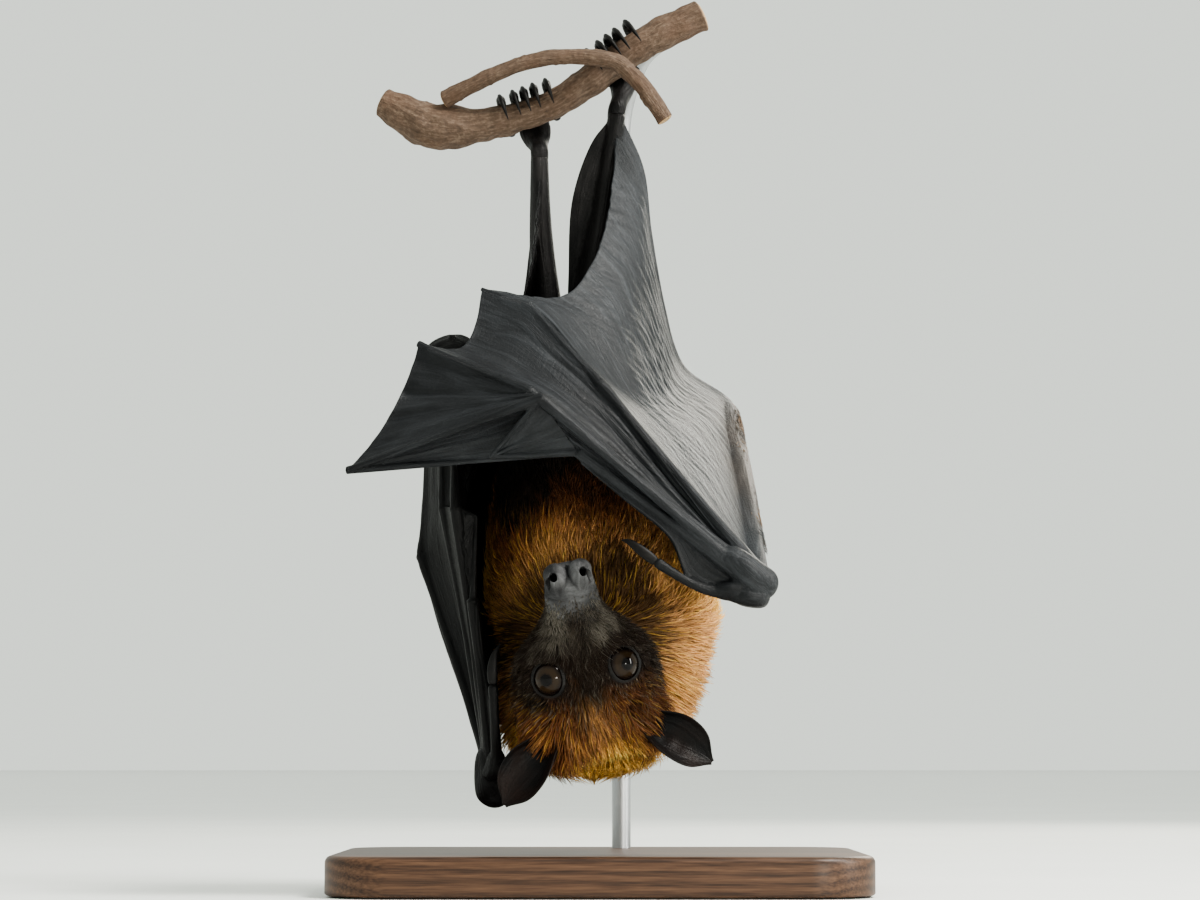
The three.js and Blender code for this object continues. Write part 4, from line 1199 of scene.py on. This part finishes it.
def head_dress(points):
    """Hair runs back from the nose, short on the muzzle and longer on the crown and cheeks."""
    back = to_head(points)[:, 0]
    flow = np.tile(-HEAD[0], (len(points), 1))
    length = 1.6 + 5 * smooth(14, 34, back) + 3.5 * smooth(36, 60, back) + 2.5 * smooth(60, 72, back)
    eye = eye_distance(points)
    length = np.minimum(length, 1.4 + 0.75 * np.maximum(eye - LID_OPENING, 0))
    width = 0.26 + 0.3 * smooth(15, 60, back)
    lift = (0.45 + 0.45 * smooth(12, 26, back)) * smooth(LID_OPENING - 1, LID_OPENING + 7, eye)
    for way in (1, -1):
        near = smooth(15, 6, np.linalg.norm(to_head(points) - EAR_OPENING * [1, way, 1], axis=-1))
        root, tip = ear_ends(way)
        flow = flow + 1.6 * near[:, None] * unit(tip - root)
        length, lift = length + 5.5 * near, lift + 1.0 * near
    bright = 0.3 * (rng.random(len(points)) < 0.15) * smooth(38, 55, back)
    color = mix(head_colour(points), STRAW, bright)
    grizzled = (rng.random(len(points)) < 0.12) * smooth(64, 46, back)
    return flow, length, width, mix(color, SILVER, 0.36 * grizzled), lift


# ---- materials -----------------------------------------------------------------------------------


class Nodes:
    """Short ways to add shader nodes to one tree."""

    def __init__(self, tree):
        self.tree = tree

    def add(self, kind, inputs=(), **settings):
        node = self.tree.nodes.new(kind)
        for key, value in settings.items():
            setattr(node, key, value)
        for key, value in dict(inputs).items():
            if isinstance(value, bpy.types.NodeSocket):
                self.tree.links.new(value, node.inputs[key])
            else:
                node.inputs[key].default_value = value
        return node

    def place(self):
        """Object coordinates."""
        return self.add("ShaderNodeTexCoord").outputs["Object"]

    def marking(self, key, output="Fac"):
        """A point attribute of the piece."""
        return self.add("ShaderNodeAttribute", attribute_name=key).outputs[output]

    def maths(self, operation, a, b=0.0):
        return self.add("ShaderNodeMath", {0: a, 1: b}, operation=operation).outputs[0]

    def scaled(self, value, slope, start=0.0):
        """slope x value + start."""
        product = self.maths("MULTIPLY", value, slope)
        return self.maths("ADD", product, start) if start else product

    def stretched(self, place, factors):
        """A place with each of its three numbers scaled by its own factor."""
        return self.add("ShaderNodeVectorMath", {0: place, 1: factors}, operation="MULTIPLY").outputs[0]

    def noise(self, place, scale, detail=3.0, rough=0.55):
        inputs = {"Vector": place, "Scale": scale, "Detail": detail, "Roughness": rough}
        return self.add("ShaderNodeTexNoise", inputs).outputs["Fac"]

    def blend(self, share, a, b, mode="MIX"):
        node = self.add("ShaderNodeMix", {0: share, 6: a, 7: b}, data_type="RGBA", blend_type=mode)
        return node.outputs[2]

    def steps(self, value, *stops):
        """A value carried through a ramp of (place, grey or colour)."""
        node = self.add("ShaderNodeValToRGB", {0: value})
        ramp = node.color_ramp
        while len(ramp.elements) < len(stops):
            ramp.elements.new(0.5)
        for element, (place, level) in zip(ramp.elements, stops):
            element.position = place
            element.color = (*level, 1) if isinstance(level, tuple) else (level, level, level, 1)
        return node.outputs[0]


def effect(name, takes, gives):
    """A shader group with named sockets: (tree nodes, group input, group output)."""
    tree = bpy.data.node_groups.new(name, "ShaderNodeTree")
    for key, kind, value in takes:
        socket = tree.interface.new_socket(name=key, in_out="INPUT", socket_type=kind)
        socket.default_value = value
    for key, kind in gives:
        tree.interface.new_socket(name=key, in_out="OUTPUT", socket_type=kind)
    nodes = Nodes(tree)
    return nodes, nodes.add("NodeGroupInput"), nodes.add("NodeGroupOutput")


def material(name, **shader):
    """An empty material: (material, its nodes, the Principled shader)."""
    made = bpy.data.materials.new(name)
    made.use_nodes = True
    made.node_tree.nodes.clear()
    nodes = Nodes(made.node_tree)
    principled = nodes.add("ShaderNodeBsdfPrincipled", shader)
    nodes.add("ShaderNodeOutputMaterial", {"Surface": principled.outputs[0]})
    return made, nodes, principled


def linked(nodes, principled, color, rough, height=None, bump=0.3, depth=0.001):
    """Leads colour and roughness into the shader, and a height, where given, through a bump."""
    nodes.tree.links.new(color, principled.inputs["Base Color"])
    nodes.tree.links.new(rough, principled.inputs["Roughness"])
    if height is not None:
        relief = nodes.add("ShaderNodeBump", {"Strength": bump, "Distance": depth, "Height": height})
        nodes.tree.links.new(relief.outputs[0], principled.inputs["Normal"])


def leather_effect():
    """Naked skin with a fine grain, small cells, long creases along the weave and short ones across;
    painted shade in the low places.
    """
    nodes, take, give = effect(
        "wrinkled skin",
        [("Tint", "NodeSocketColor", (0.1, 0.1, 0.1, 1)), ("Weave", "NodeSocketVector", (0, 0, 0)),
         ("Cells", "NodeSocketFloat", 700.0), ("Long creases", "NodeSocketFloat", 0.6),
         ("Short creases", "NodeSocketFloat", 0.16)],
        [("Color", "NodeSocketColor"), ("Roughness", "NodeSocketFloat"), ("Height", "NodeSocketFloat")],
    )
    place = nodes.place()
    weave = take.outputs["Weave"]
    cells = nodes.add("ShaderNodeTexVoronoi", {"Vector": place, "Scale": take.outputs["Cells"]},
                      feature="DISTANCE_TO_EDGE")
    crack = nodes.steps(cells.outputs["Distance"], (0.0, 0.0), (0.12, 1.0))
    grain = nodes.noise(place, 1700.0, 2.0)

    def creases(scale, detail, sharp):
        """Low lines, which the painted shade darkens, where a noise that is drawn out along the weave
        passes its middle value.
        """
        drawn = nodes.stretched(weave, scale)
        wave = nodes.add("ShaderNodeTexNoise", {
            "Vector": drawn, "Scale": 1.0, "Detail": detail, "Roughness": 0.6, "Distortion": 0.7,
        }).outputs["Fac"]
        ridge = nodes.maths("ABSOLUTE", nodes.maths("SUBTRACT", wave, 0.5))
        return nodes.steps(ridge, (0.0, 0.0), (sharp, 1.0))

    long = creases((0.028, 0.30, 0.30), 4.0, 0.2)
    short = creases((0.75, 0.20, 0.4), 3.0, 0.2)
    patchy = nodes.steps(nodes.noise(place, 34.0, 2.0), (0.42, 0.0), (0.6, 1.0))
    sum_of = nodes.maths("ADD", nodes.scaled(crack, 0.12), nodes.scaled(grain, 0.12))
    sum_of = nodes.maths("ADD", sum_of, nodes.maths("MULTIPLY", long, take.outputs["Long creases"]))
    across = nodes.maths("MULTIPLY", nodes.maths("MULTIPLY", short, patchy), take.outputs["Short creases"])
    height = nodes.maths("ADD", sum_of, across)
    # Painted shade and highlight: the colour falls to half in the creases and cell edges and rises to 1.2
    # on the high places.
    shade = nodes.steps(nodes.scaled(height, 0.8), (0.08, 0.5), (0.7, 1.2))
    links = nodes.tree.links
    links.new(nodes.blend(1.0, take.outputs["Tint"], shade, "MULTIPLY"), give.inputs["Color"])
    links.new(height, give.inputs["Height"])
    links.new(nodes.scaled(grain, 0.2, 0.36), give.inputs["Roughness"])
    return nodes.tree


LEATHER = leather_effect()


def skin_material():
    """Naked skin where `fur` is 0 and the ground of the coat where it is 1, with the same markings."""
    made, nodes, shader = material("skin", **{"Specular IOR Level": 0.16})
    tint = nodes.marking("tint", "Color")
    fur = nodes.marking("fur")
    weave = nodes.marking("weave", "Vector")
    leather = nodes.add("ShaderNodeGroup", node_tree=LEATHER)
    nodes.tree.links.new(tint, leather.inputs["Tint"])
    nodes.tree.links.new(weave, leather.inputs["Weave"])
    place = nodes.place()
    strands = nodes.noise(place, 2400.0, 2.0)
    ground = nodes.blend(1.0, tint, nodes.steps(strands, (0.3, 0.25), (0.7, 0.8)), "MULTIPLY")
    color = nodes.blend(fur, leather.outputs["Color"], ground)
    rough = nodes.maths("MAXIMUM", leather.outputs["Roughness"], nodes.scaled(fur, 0.9))
    linked(nodes, shader, color, rough, nodes.blend(fur, leather.outputs["Height"], strands), 0.5, 0.0007)
    return made


def hair_material():
    """Hair in the tuft's own colour, with darker and paler streaks and a faint warm sheen."""
    made, nodes, shader = material("coat", **{
        "Specular IOR Level": 0.1,
        "Sheen Weight": 0.03, "Sheen Roughness": 0.4, "Sheen Tint": (1, 0.8, 0.5, 1),
    })
    tint = nodes.marking("tint", "Color")
    place = nodes.place()
    fine = nodes.noise(place, 1800.0, 2.0)
    color = nodes.blend(1.0, tint, nodes.steps(fine, (0.3, 0.78), (0.7, 1.18)), "MULTIPLY")
    rough = nodes.scaled(fine, 0.2, 0.42)
    linked(nodes, shader, color, rough, fine, 0.2, 0.0003)
    return made


def eye_material():
    """Dark pupil, brown iris with streaks, a darker rim and a wet clear front."""
    made, nodes, shader = material("eye", **{
        "Specular IOR Level": 0.0, "Coat Weight": 1.0, "Coat Roughness": 0.03, "Coat IOR": 1.26,
    })
    polar = nodes.marking("polar")
    place = nodes.place()
    streak = nodes.noise(place, 1500.0, 3.0)
    near = nodes.maths("ADD", polar, nodes.maths("MULTIPLY", nodes.maths("SUBTRACT", streak, 0.5), 0.12))
    color = nodes.steps(near, (0.0, (0.002, 0.0015, 0.0015)), (0.25, (0.003, 0.002, 0.002)),
                        (0.34, (0.021, 0.013, 0.0075)), (0.52, (0.025, 0.0155, 0.0085)),
                        (0.74, (0.008, 0.005, 0.004)), (0.95, (0.004, 0.003, 0.003)))
    linked(nodes, shader, color, nodes.scaled(streak, 0.1, 0.12))
    return made


def claw_material():
    """Black horn with brownish streaks."""
    made, nodes, shader = material("claw", **{"Specular IOR Level": 0.18})
    place = nodes.place()
    streak = nodes.noise(place, 420.0, 4.0)
    color = nodes.steps(streak, (0.3, (0.0025, 0.0022, 0.0022)), (0.7, (0.008, 0.007, 0.0065)))
    linked(nodes, shader, color, nodes.scaled(streak, 0.2, 0.4), streak, 0.15, 0.0003)
    return made


def bark_material():
    """Grey-brown bark: long furrows along the branch, small pores, and paler cut wood at the ends."""
    made, nodes, shader = material("bark", **{"Specular IOR Level": 0.3})
    run = nodes.marking("run", "Vector")
    place = nodes.place()
    furrow = nodes.noise(run, 1.0, 6.0, 0.65)
    patchy = nodes.noise(place, 60.0, 4.0)
    pores = nodes.noise(place, 700.0, 3.0)
    cut = nodes.marking("cut")
    both = nodes.maths("ADD", nodes.scaled(furrow, 0.65), nodes.scaled(pores, 0.35))
    bark = nodes.steps(both, (0.30, (0.040, 0.025, 0.017)), (0.5, (0.100, 0.064, 0.043)),
                       (0.72, (0.21, 0.155, 0.115)))
    bark = nodes.blend(nodes.steps(patchy, (0.45, 0.0), (0.7, 0.5)), bark, (0.10, 0.052, 0.030, 1))
    wood = nodes.steps(nodes.noise(place, 900.0), (0.3, (0.33, 0.20, 0.10)), (0.7, (0.52, 0.36, 0.20)))
    color = nodes.blend(cut, bark, wood)
    linked(nodes, shader, color, nodes.scaled(both, 0.3, 0.6), both, 0.8, 0.0012)
    return made


def wood_material():
    """Oiled walnut: growth rings round a log's axis that runs along X below the board, with pores."""
    made, nodes, shader = material("base_wood", **{
        "Specular IOR Level": 0.28, "Coat Weight": 0.04, "Coat Roughness": 0.35,
    })
    place = nodes.place()
    axis = nodes.stretched(place, (0.06, 1.0, 1.0))
    lower = nodes.add("ShaderNodeVectorMath", {0: axis, 1: (0.0, 0.03, 0.11)}, operation="ADD").outputs[0]
    radius = nodes.add("ShaderNodeVectorMath", {0: lower}, operation="LENGTH").outputs["Value"]
    drift = nodes.noise(axis, 22.0, 3.0)
    radius = nodes.maths("ADD", radius, nodes.scaled(drift, 0.018))
    rings = nodes.maths("SINE", nodes.scaled(radius, 1500.0))
    fibre = nodes.stretched(place, (60.0, 1500.0, 1500.0))
    pores = nodes.noise(fibre, 1.0, 3.0)
    both = nodes.maths("ADD", nodes.scaled(rings, 0.13), pores)
    color = nodes.steps(both, (0.25, (0.030, 0.015, 0.009)), (0.5, (0.068, 0.034, 0.019)),
                        (0.8, (0.120, 0.064, 0.036)))
    linked(nodes, shader, color, nodes.scaled(pores, 0.25, 0.3), pores, 0.12, 0.0004)
    return made


def steel_material():
    """Brushed steel: fine lines along the rod and a cloudy grey."""
    made, nodes, shader = material("rod_steel", **{"Metallic": 1.0})
    place = nodes.place()
    drawn = nodes.stretched(place, (2600.0, 2600.0, 30.0))
    lines = nodes.noise(drawn, 1.0, 2.0)
    smear = nodes.noise(place, 55.0, 3.0)
    color = nodes.steps(smear, (0.3, (0.34, 0.35, 0.36)), (0.7, (0.45, 0.46, 0.47)))
    rough = nodes.scaled(lines, 0.18, 0.34)
    linked(nodes, shader, color, rough, lines, 0.1, 0.0002)
    return made


# ---- putting the bat together --------------------------------------------------------------------

parts = [
    ("torso", [torso_shell()]),
    ("head", [head_shell()]),
    ("muzzle", nostril_shells()),
    ("lids", lid_shells()),
    ("ear", ear_shells()),
    ("foot", [s for side in LEGS for s in leg_shells(side) + foot_shells(side)]),
    ("hand_right", hand_shells("right")),
    ("hand_left", hand_shells("left")),
    ("arm_right", arm_shells("right")),
    ("arm_left", arm_shells("left")),
]


def joined_skin():
    """The union of all parts less the nostrils' openings. Each vertex keeps the number of its part and
    its weave; these are 0 on a new vertex, where two parts meet."""
    pieces = [
        mesh_piece(f"flesh_{number}_{n}", *shell, attributes={
            "part": np.full(len(shell[0]), number + 1.0), "weave": shell[3],
        })
        for number, (_, shells) in enumerate(parts) for n, shell in enumerate(shells)
    ]
    holes = [mesh_piece(f"hole_{n}", *shell) for n, shell in enumerate(nostril_holes())]
    for piece in [*pieces[1:], *holes]:
        joint = pieces[0].modifiers.new("join", "BOOLEAN")
        joint.operation = "DIFFERENCE" if piece in holes else "UNION"
        joint.solver = "MANIFOLD"
        joint.object = piece
    view = bpy.context.evaluated_depsgraph_get()
    mesh = bpy.data.meshes.new_from_object(pieces[0].evaluated_get(view))
    for piece in [*pieces, *holes]:
        bpy.data.meshes.remove(piece.data)
    mesh.name = "bat_skin"
    whole = bpy.data.objects.new("bat_skin", mesh)
    bpy.context.scene.collection.objects.link(whole)
    mesh.polygons.foreach_set("use_smooth", np.ones(len(mesh.polygons), bool))
    return whole


def read(items, key, width, kind=np.float64):
    """A mesh's values under this key as rows of `width` numbers."""
    values = np.zeros(len(items) * width, kind)
    items.foreach_get(key, values)
    return values.reshape(-1, width)


def neighbour_mean(edges, values, weights):
    """For each vertex the weighted mean of its neighbours' values, and the sum of the weights."""
    ends = np.concatenate([edges, edges[:, ::-1]])
    weight = np.bincount(ends[:, 0], weights[ends[:, 1]], len(values))
    columns = [
        np.bincount(ends[:, 0], (weights * column)[ends[:, 1]], len(values)) for column in values.T
    ]
    return np.stack(columns, -1) / np.maximum(weight, 1e-9)[:, None], weight


def soften_joints(mesh, edges, new, rounds=5, reach=3):
    """Rounds the creases where parts meet: there each vertex moves half way to the mean of its
    neighbours, a few times over, and less so up to `reach` edges away."""
    near = new.astype(float)
    for _ in range(reach):
        spread, _ = neighbour_mean(edges, near[:, None], np.ones(len(near)))
        near = np.maximum(near, (spread[:, 0] > 0.05) * 0.75 * near.max())
    points = read(mesh.vertices, "co", 3)
    for _ in range(rounds):
        mean, _ = neighbour_mean(edges, points, np.ones(len(points)))
        points = points + 0.5 * (mean - points) * near[:, None]
    mesh.vertices.foreach_set("co", points.astype(np.float32).ravel())
    mesh.update()


def paint_skin(skin):
    """The markings as point attributes: `tint`, and `fur`, which is 1 under the coat."""
    mesh = skin.data
    part = read(mesh.attributes["part"].data, "value", 1)[:, 0]
    weave = read(mesh.attributes["weave"].data, "vector", 3)
    edges = read(mesh.edges, "vertices", 2, np.int32)
    known = (np.abs(part - np.round(part)) < 1e-3) & (part > 0.5)
    soften_joints(mesh, edges, ~known)
    points = read(mesh.vertices, "co", 3) / MM
    tint, fur = np.zeros((len(points), 3)), np.zeros(len(points))
    for number, (name, _) in enumerate(parts, 1):
        here = known & (np.round(part) == number)
        spot = points[here]
        if name == "torso":
            tint[here], fur[here] = torso_colour(spot), 1
        elif name == "head":
            back = to_head(spot)[:, 0]
            covered = smooth(10, 25, back + 1.5 * ripple(spot, 5, 2))
            tint[here] = mix(bare_colour("muzzle", spot), head_colour(spot) * 0.7, covered)
            fur[here] = covered * (eye_distance(spot) > LID_OPENING + 0.8)
        elif len(spot):
            tint[here] = bare_colour(name, spot)
    values = np.column_stack([tint, fur, weave])
    for _ in range(6):
        mean, weight = neighbour_mean(edges, values, known.astype(float))
        fill = ~known & (weight > 0)
        values[fill] = mean[fill]
        known = known | fill
    for _ in range(2):
        mean, _ = neighbour_mean(edges, values[:, :4], np.ones(len(values)))
        values[:, :4] = 0.5 * (values[:, :4] + mean)
    set_attribute(mesh, "tint", np.column_stack([values[:, :3], np.ones(len(values))]))
    set_attribute(mesh, "fur", values[:, 3])
    mesh.attributes["weave"].data.foreach_set("vector", values[:, 4:].astype(np.float32).ravel())


def eyeball(way):
    """A ball whose poles lie on the way the eye looks, with the angle from it as `polar`, 0 to 1."""
    centre, axis, along, over = eye_axes(way)
    polar = np.concatenate([np.linspace(0.02, 0.9, 40), np.linspace(0.95, np.pi - 0.05, 22)])
    a = round_angles(72)
    ring = np.sin(polar)[:, None, None] * (np.cos(a)[:, None] * along + np.sin(a)[:, None] * over)
    cornea = 0.28 * bell(polar, 0.42)[:, None, None]
    grid = centre + (EYE_RADIUS - 0.28 + cornea) * (np.cos(polar)[:, None, None] * axis + ring)
    vertices, quads, triangles, _ = wrapped(from_head(grid))
    angle = np.concatenate([np.repeat(polar, len(a)), [0, np.pi]]) / 1.15
    name = "eyeball_right" if way > 0 else "eyeball_left"
    return mesh_piece(name, vertices, quads, triangles, attributes={"polar": np.clip(angle, 0, 1)})


def without_folds(mesh):
    """Cuts the faces into triangles and takes out each pair that lies on the same three points."""
    work = bmesh.new()
    work.from_mesh(mesh)
    bmesh.ops.triangulate(work, faces=work.faces)
    corners = np.sort([[point.index for point in face.verts] for face in work.faces])
    _, which, times = np.unique(corners, axis=0, return_inverse=True, return_counts=True)
    work.faces.ensure_lookup_table()
    folds = [work.faces[i] for i in np.flatnonzero(times[which.ravel()] > 1)]
    bmesh.ops.delete(work, geom=folds, context="FACES")
    work.to_mesh(mesh)
    work.free()


def thin_out(piece, count):
    """Collapses edges where that moves the surface least, until `count` triangles are left at most."""
    full = piece.data
    without_folds(full)
    thin = piece.modifiers.new("thin", "DECIMATE")
    thin.ratio = min(1.0, count / len(full.polygons))
    thin.use_collapse_triangulate = True
    view = bpy.context.evaluated_depsgraph_get()
    piece.data = bpy.data.meshes.new_from_object(piece.evaluated_get(view))
    piece.modifiers.clear()
    bpy.data.meshes.remove(full)
    piece.data.name = piece.name
    without_folds(piece.data)


SIDES = [("right", 1), ("left", -1)]
FLESH = ["head", "neck", "trunk"] + [
    f"{name}_{side}" for side, _ in SIDES for name in ("ear", "leg", "foot", "thumb", "hand", "arm")
]
looks = {
    "skin": skin_material(), "coat": hair_material(), "eye": eye_material(), "claw": claw_material(),
    "bark": bark_material(), "base_wood": wood_material(), "rod_steel": steel_material(),
}

skin = joined_skin()
paint_skin(skin)
thin_out(skin, SKIN_TRIANGLES)
finished(skin, looks["skin"], "skin", *FLESH)

for side, way in SIDES:
    finished(eyeball(way), looks["eye"], "eye", f"eye_{side}")
    thumb_tip = mesh_piece(f"claw_of_thumb_{side}", *thumb_claw(side))
    finished(thumb_tip, looks["claw"], "claw", f"thumb_claw_{side}")
    toe_tips = mesh_piece(f"claws_of_foot_{side}", *merged(toe_claws(side)))
    finished(toe_tips, looks["claw"], "claw")


def torso_open(root, tip):
    """Tufts that stay clear of the head's own coat."""
    middle = 0.5 * (root + tip)
    return ~in_head(root) & ~in_head(tip, HEAD_COAT, -2.0) & ~in_head(middle, HEAD_COAT, -3.0)


def head_open(root, tip):
    """Tufts that don't grow from inside the neck, over an eye or out of an ear."""
    local = to_head(root)
    ears = [np.linalg.norm(local - EAR_OPENING * [1, way, 1], axis=-1) > 3.2 for way in (1, -1)]
    return ~in_torso(root, -1.5) & (eye_distance(root) > LID_OPENING + 0.55) & ears[0] & ears[1]


def face_weight(points):
    """Closer hair on the face than behind it, and next to none by the nose."""
    back = to_head(points)[:, 0]
    return (1 + 0.8 * smooth(45, 25, back)) * (0.06 + 0.94 * smooth(10, 21, back))


def mantle_weight(points):
    """Closer hair round the neck and shoulders than further up."""
    return 1 + 0.7 * smooth(140, 110, points[:, 2])


def even_weight(points):
    """Hair of the same closeness everywhere."""
    return np.ones(len(points))


fur = [
    *coat("fur_body", BODY_TUFTS, torso_coat_spot, mantle_weight, torso_dress, torso_open, 5),
    *coat("fur_head", HEAD_TUFTS, head_coat_spot, face_weight, head_dress, head_open, 3),
    *coat("fur_forearm", FOREARM_TUFTS, forearm_spot, even_weight, forearm_dress, forearm_open, 1),
]
for piece in fur:
    finished(piece, looks["coat"], "coat")

# ---- perch and stand -----------------------------------------------------------------------------


def woody(name, points, radii, sides, rings, seed, blunt, pitch, swell):
    """A branch with low ridges along it, a ring-like swelling each `pitch` millimetres where leaves
    grew, and flat cut ends that show the wood: centre + way r (1 + ridges + swellings)."""
    share, across, rise, full, radius = limb_rings(points, radii, (0, 1, 0), rings, blunt)
    a = round_angles(sides)
    centre = line_at(points, share)
    way = across[:, None] * np.cos(a)[..., None] + rise[:, None] * np.sin(a)[..., None]
    rough = 0.045 * ripple(centre[:, None] + 5 * way, 11, seed)
    rough = rough + 0.03 * ripple(centre[:, None] * 0.3 + 5 * way, 2.2, seed + 1)
    run = share[:, None] * line_length(points) + 0 * a[None]
    node = swell * bell((run + 1.5 * np.cos(a + run)) % pitch - 0.5 * pitch, 1.3)
    node = node * (1 + np.cos(a + 2.4 * (run // pitch)))
    grid = centre[:, None] + way * (radius[:, None] * (1 + rough + node - 0.05))[..., None]
    spots = np.stack([run * 0.22, 6 * np.cos(a)[None] + 0 * run, 6 * np.sin(a)[None] + 0 * run], -1)
    shell = wrapped(grid, spots)
    cut = np.append(np.repeat((radius < 0.93 * full).astype(float), sides), [1, 1])
    return mesh_piece(name, *shell, attributes={"run": shell[3], "cut": cut})


def base_board():
    """A flat board from rings: a quarter circle at each corner of a rectangle that is `inset` smaller
    on all sides, with the upper edge rounded over by a quarter circle and the lower one by an oval."""
    angles = TAU * (np.arange(96) + 0.5) / 96
    c, s = np.cos(angles), np.sin(angles)
    lower_rounding = 1.2

    def ring(inset, z):
        """The board's outline, smaller by `inset` on all sides, at a height z."""
        r = BOARD_CORNER - min(inset, 20)
        x = np.sign(c) * (BOARD_HALF[0] - inset - r) + r * c
        y = np.sign(s) * (BOARD_HALF[1] - inset - r) + r * s + BOARD_MIDDLE_Y
        return np.stack([x, y, np.full(len(c), z)], -1)

    turn = np.linspace(0, np.pi / 2, 7)
    over, top = BOARD_ROUNDING, BOARD_HEIGHT - BOARD_ROUNDING
    rows = [ring(60, 0.0), ring(30, 0.0), ring(over, 0.0)]
    rows += [ring(over - over * np.sin(t), lower_rounding - lower_rounding * np.cos(t)) for t in turn[1:]]
    rows += [ring(over - over * np.cos(t), top + over * np.sin(t)) for t in turn]
    rows += [ring(30, BOARD_HEIGHT), ring(60, BOARD_HEIGHT)]
    return mesh_piece("base_board", *wrapped(np.stack(rows)))


branch = woody("branch", BRANCH_LINE, BRANCH_RADII, 64, 260, 41, 4, 31, 0.03)
twig = woody("twig", TWIG_LINE, TWIG_RADII, 40, 200, 51, 3, 13, 0.07)
finished(branch, looks["bark"], "bark", "perch_branch")
finished(twig, looks["bark"], "bark", "perch_twig")
finished(base_board(), looks["base_wood"], "base_wood", "stand_base")
held = line_at(BRANCH_LINE, [ROD_MEETS_BRANCH])[0]
rod_line = [*ROD_LINE, (23, 24, held[2]), tuple(held + [0, 2, 0])]
rod = mesh_piece("rod", *tube(rod_line, [ROD_RADIUS, ROD_RADIUS], (1, 0, 0), 150, 32, blunt=6))
finished(rod, looks["rod_steel"], "rod_steel", "stand_rod")

# ---- floor, light and camera ---------------------------------------------------------------------


def floor_material():
    """Matt pale floor with a faint cloudiness."""
    made, nodes, shader = material("floor", **{"Specular IOR Level": 0.2})
    place = nodes.place()
    cloud = nodes.noise(place, 6.0, 4.0)
    color = nodes.steps(cloud, (0.3, (0.86, 0.87, 0.85)), (0.7, (0.90, 0.91, 0.89)))
    linked(nodes, shader, color, nodes.scaled(cloud, 0.2, 0.55))
    return made


FLOOR_TOP = -0.4
FLOOR_LOW = -400


def floor_disc():
    """A wide round slab: rings of a circle, from the middle of its foot out and over to its top."""
    a = round_angles(96)
    rings = [(1, FLOOR_LOW), (30000, FLOOR_LOW)] + [(r, FLOOR_TOP) for r in (30000, 2000, 200, 1)]
    return wrapped(np.stack([
        np.stack([r * np.cos(a), r * np.sin(a), np.full(len(a), z)], -1) for r, z in rings
    ]))


floor = mesh_piece("floor", *floor_disc())
floor.data.materials.append(floor_material())
floor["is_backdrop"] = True

world = bpy.data.worlds.new("studio")
world.use_nodes = True
sky = world.node_tree.nodes["Background"]
sky.inputs["Color"].default_value = (0.93, 0.98, 0.91, 1)
sky.inputs["Strength"].default_value = 1.0
bpy.context.scene.world = world


def softbox(name, place, target, size, power, color=(1, 1, 1), height=None):
    """A round lamp, or an upright strip where a height is given."""
    data = bpy.data.lights.new(name, "AREA")
    data.shape = "DISK" if height is None else "RECTANGLE"
    data.size, data.size_y = size, height or size
    data.energy = power
    data.color = color
    lamp = bpy.data.objects.new(name, data)
    aim(lamp, place, target)
    bpy.context.scene.collection.objects.link(lamp)
    return lamp


def aim(thing, place, target):
    """Sets the thing down at a place with its -Z towards the target."""
    back = unit(np.array(place, float) - np.array(target, float))
    right = unit(np.cross([0, 0, 1.0], back))
    up = np.cross(back, right)
    thing.matrix_world = Matrix(np.vstack([np.column_stack([right, up, back, place]), [0, 0, 0, 1]]))


softbox("key", (0.7, -0.5, 1.2), (0, 0, 0.15), 0.45, 26, (1, 0.98, 0.93))
softbox("back", (0.55, 1.3, 0.75), (0, 0, 0.08), 0.5, 7, (1, 0.95, 0.84))
softbox("low side", (0.6, -1.05, 0.05), (0, 0, 0.06), 0.2, 5, (1, 0.96, 0.88))
strip = softbox("strip", (0.95, -0.25, 0.55), (0, 0, 0.1), 0.09, 14, (1, 0.98, 0.94), 1.0)
strip.visible_diffuse = False  # it only draws the highlights

camera = bpy.data.objects.new("camera", bpy.data.cameras.new("camera"))
camera.data.lens = 108.742
camera.data.sensor_width = 36
camera.data.clip_end = 100
aim(camera, (0, -1.3, 0.045), (0, 0, 0.158))
scene = bpy.context.scene
scene.collection.objects.link(camera)
scene.camera = camera
scene.view_settings.view_transform = "AgX"
scene.view_settings.look = "AgX - Medium High Contrast"

boxes = {"cad": CAD_BOX, "visual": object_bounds()}
{key: [list(map(float, corner)) for corner in box] for key, box in boxes.items()}
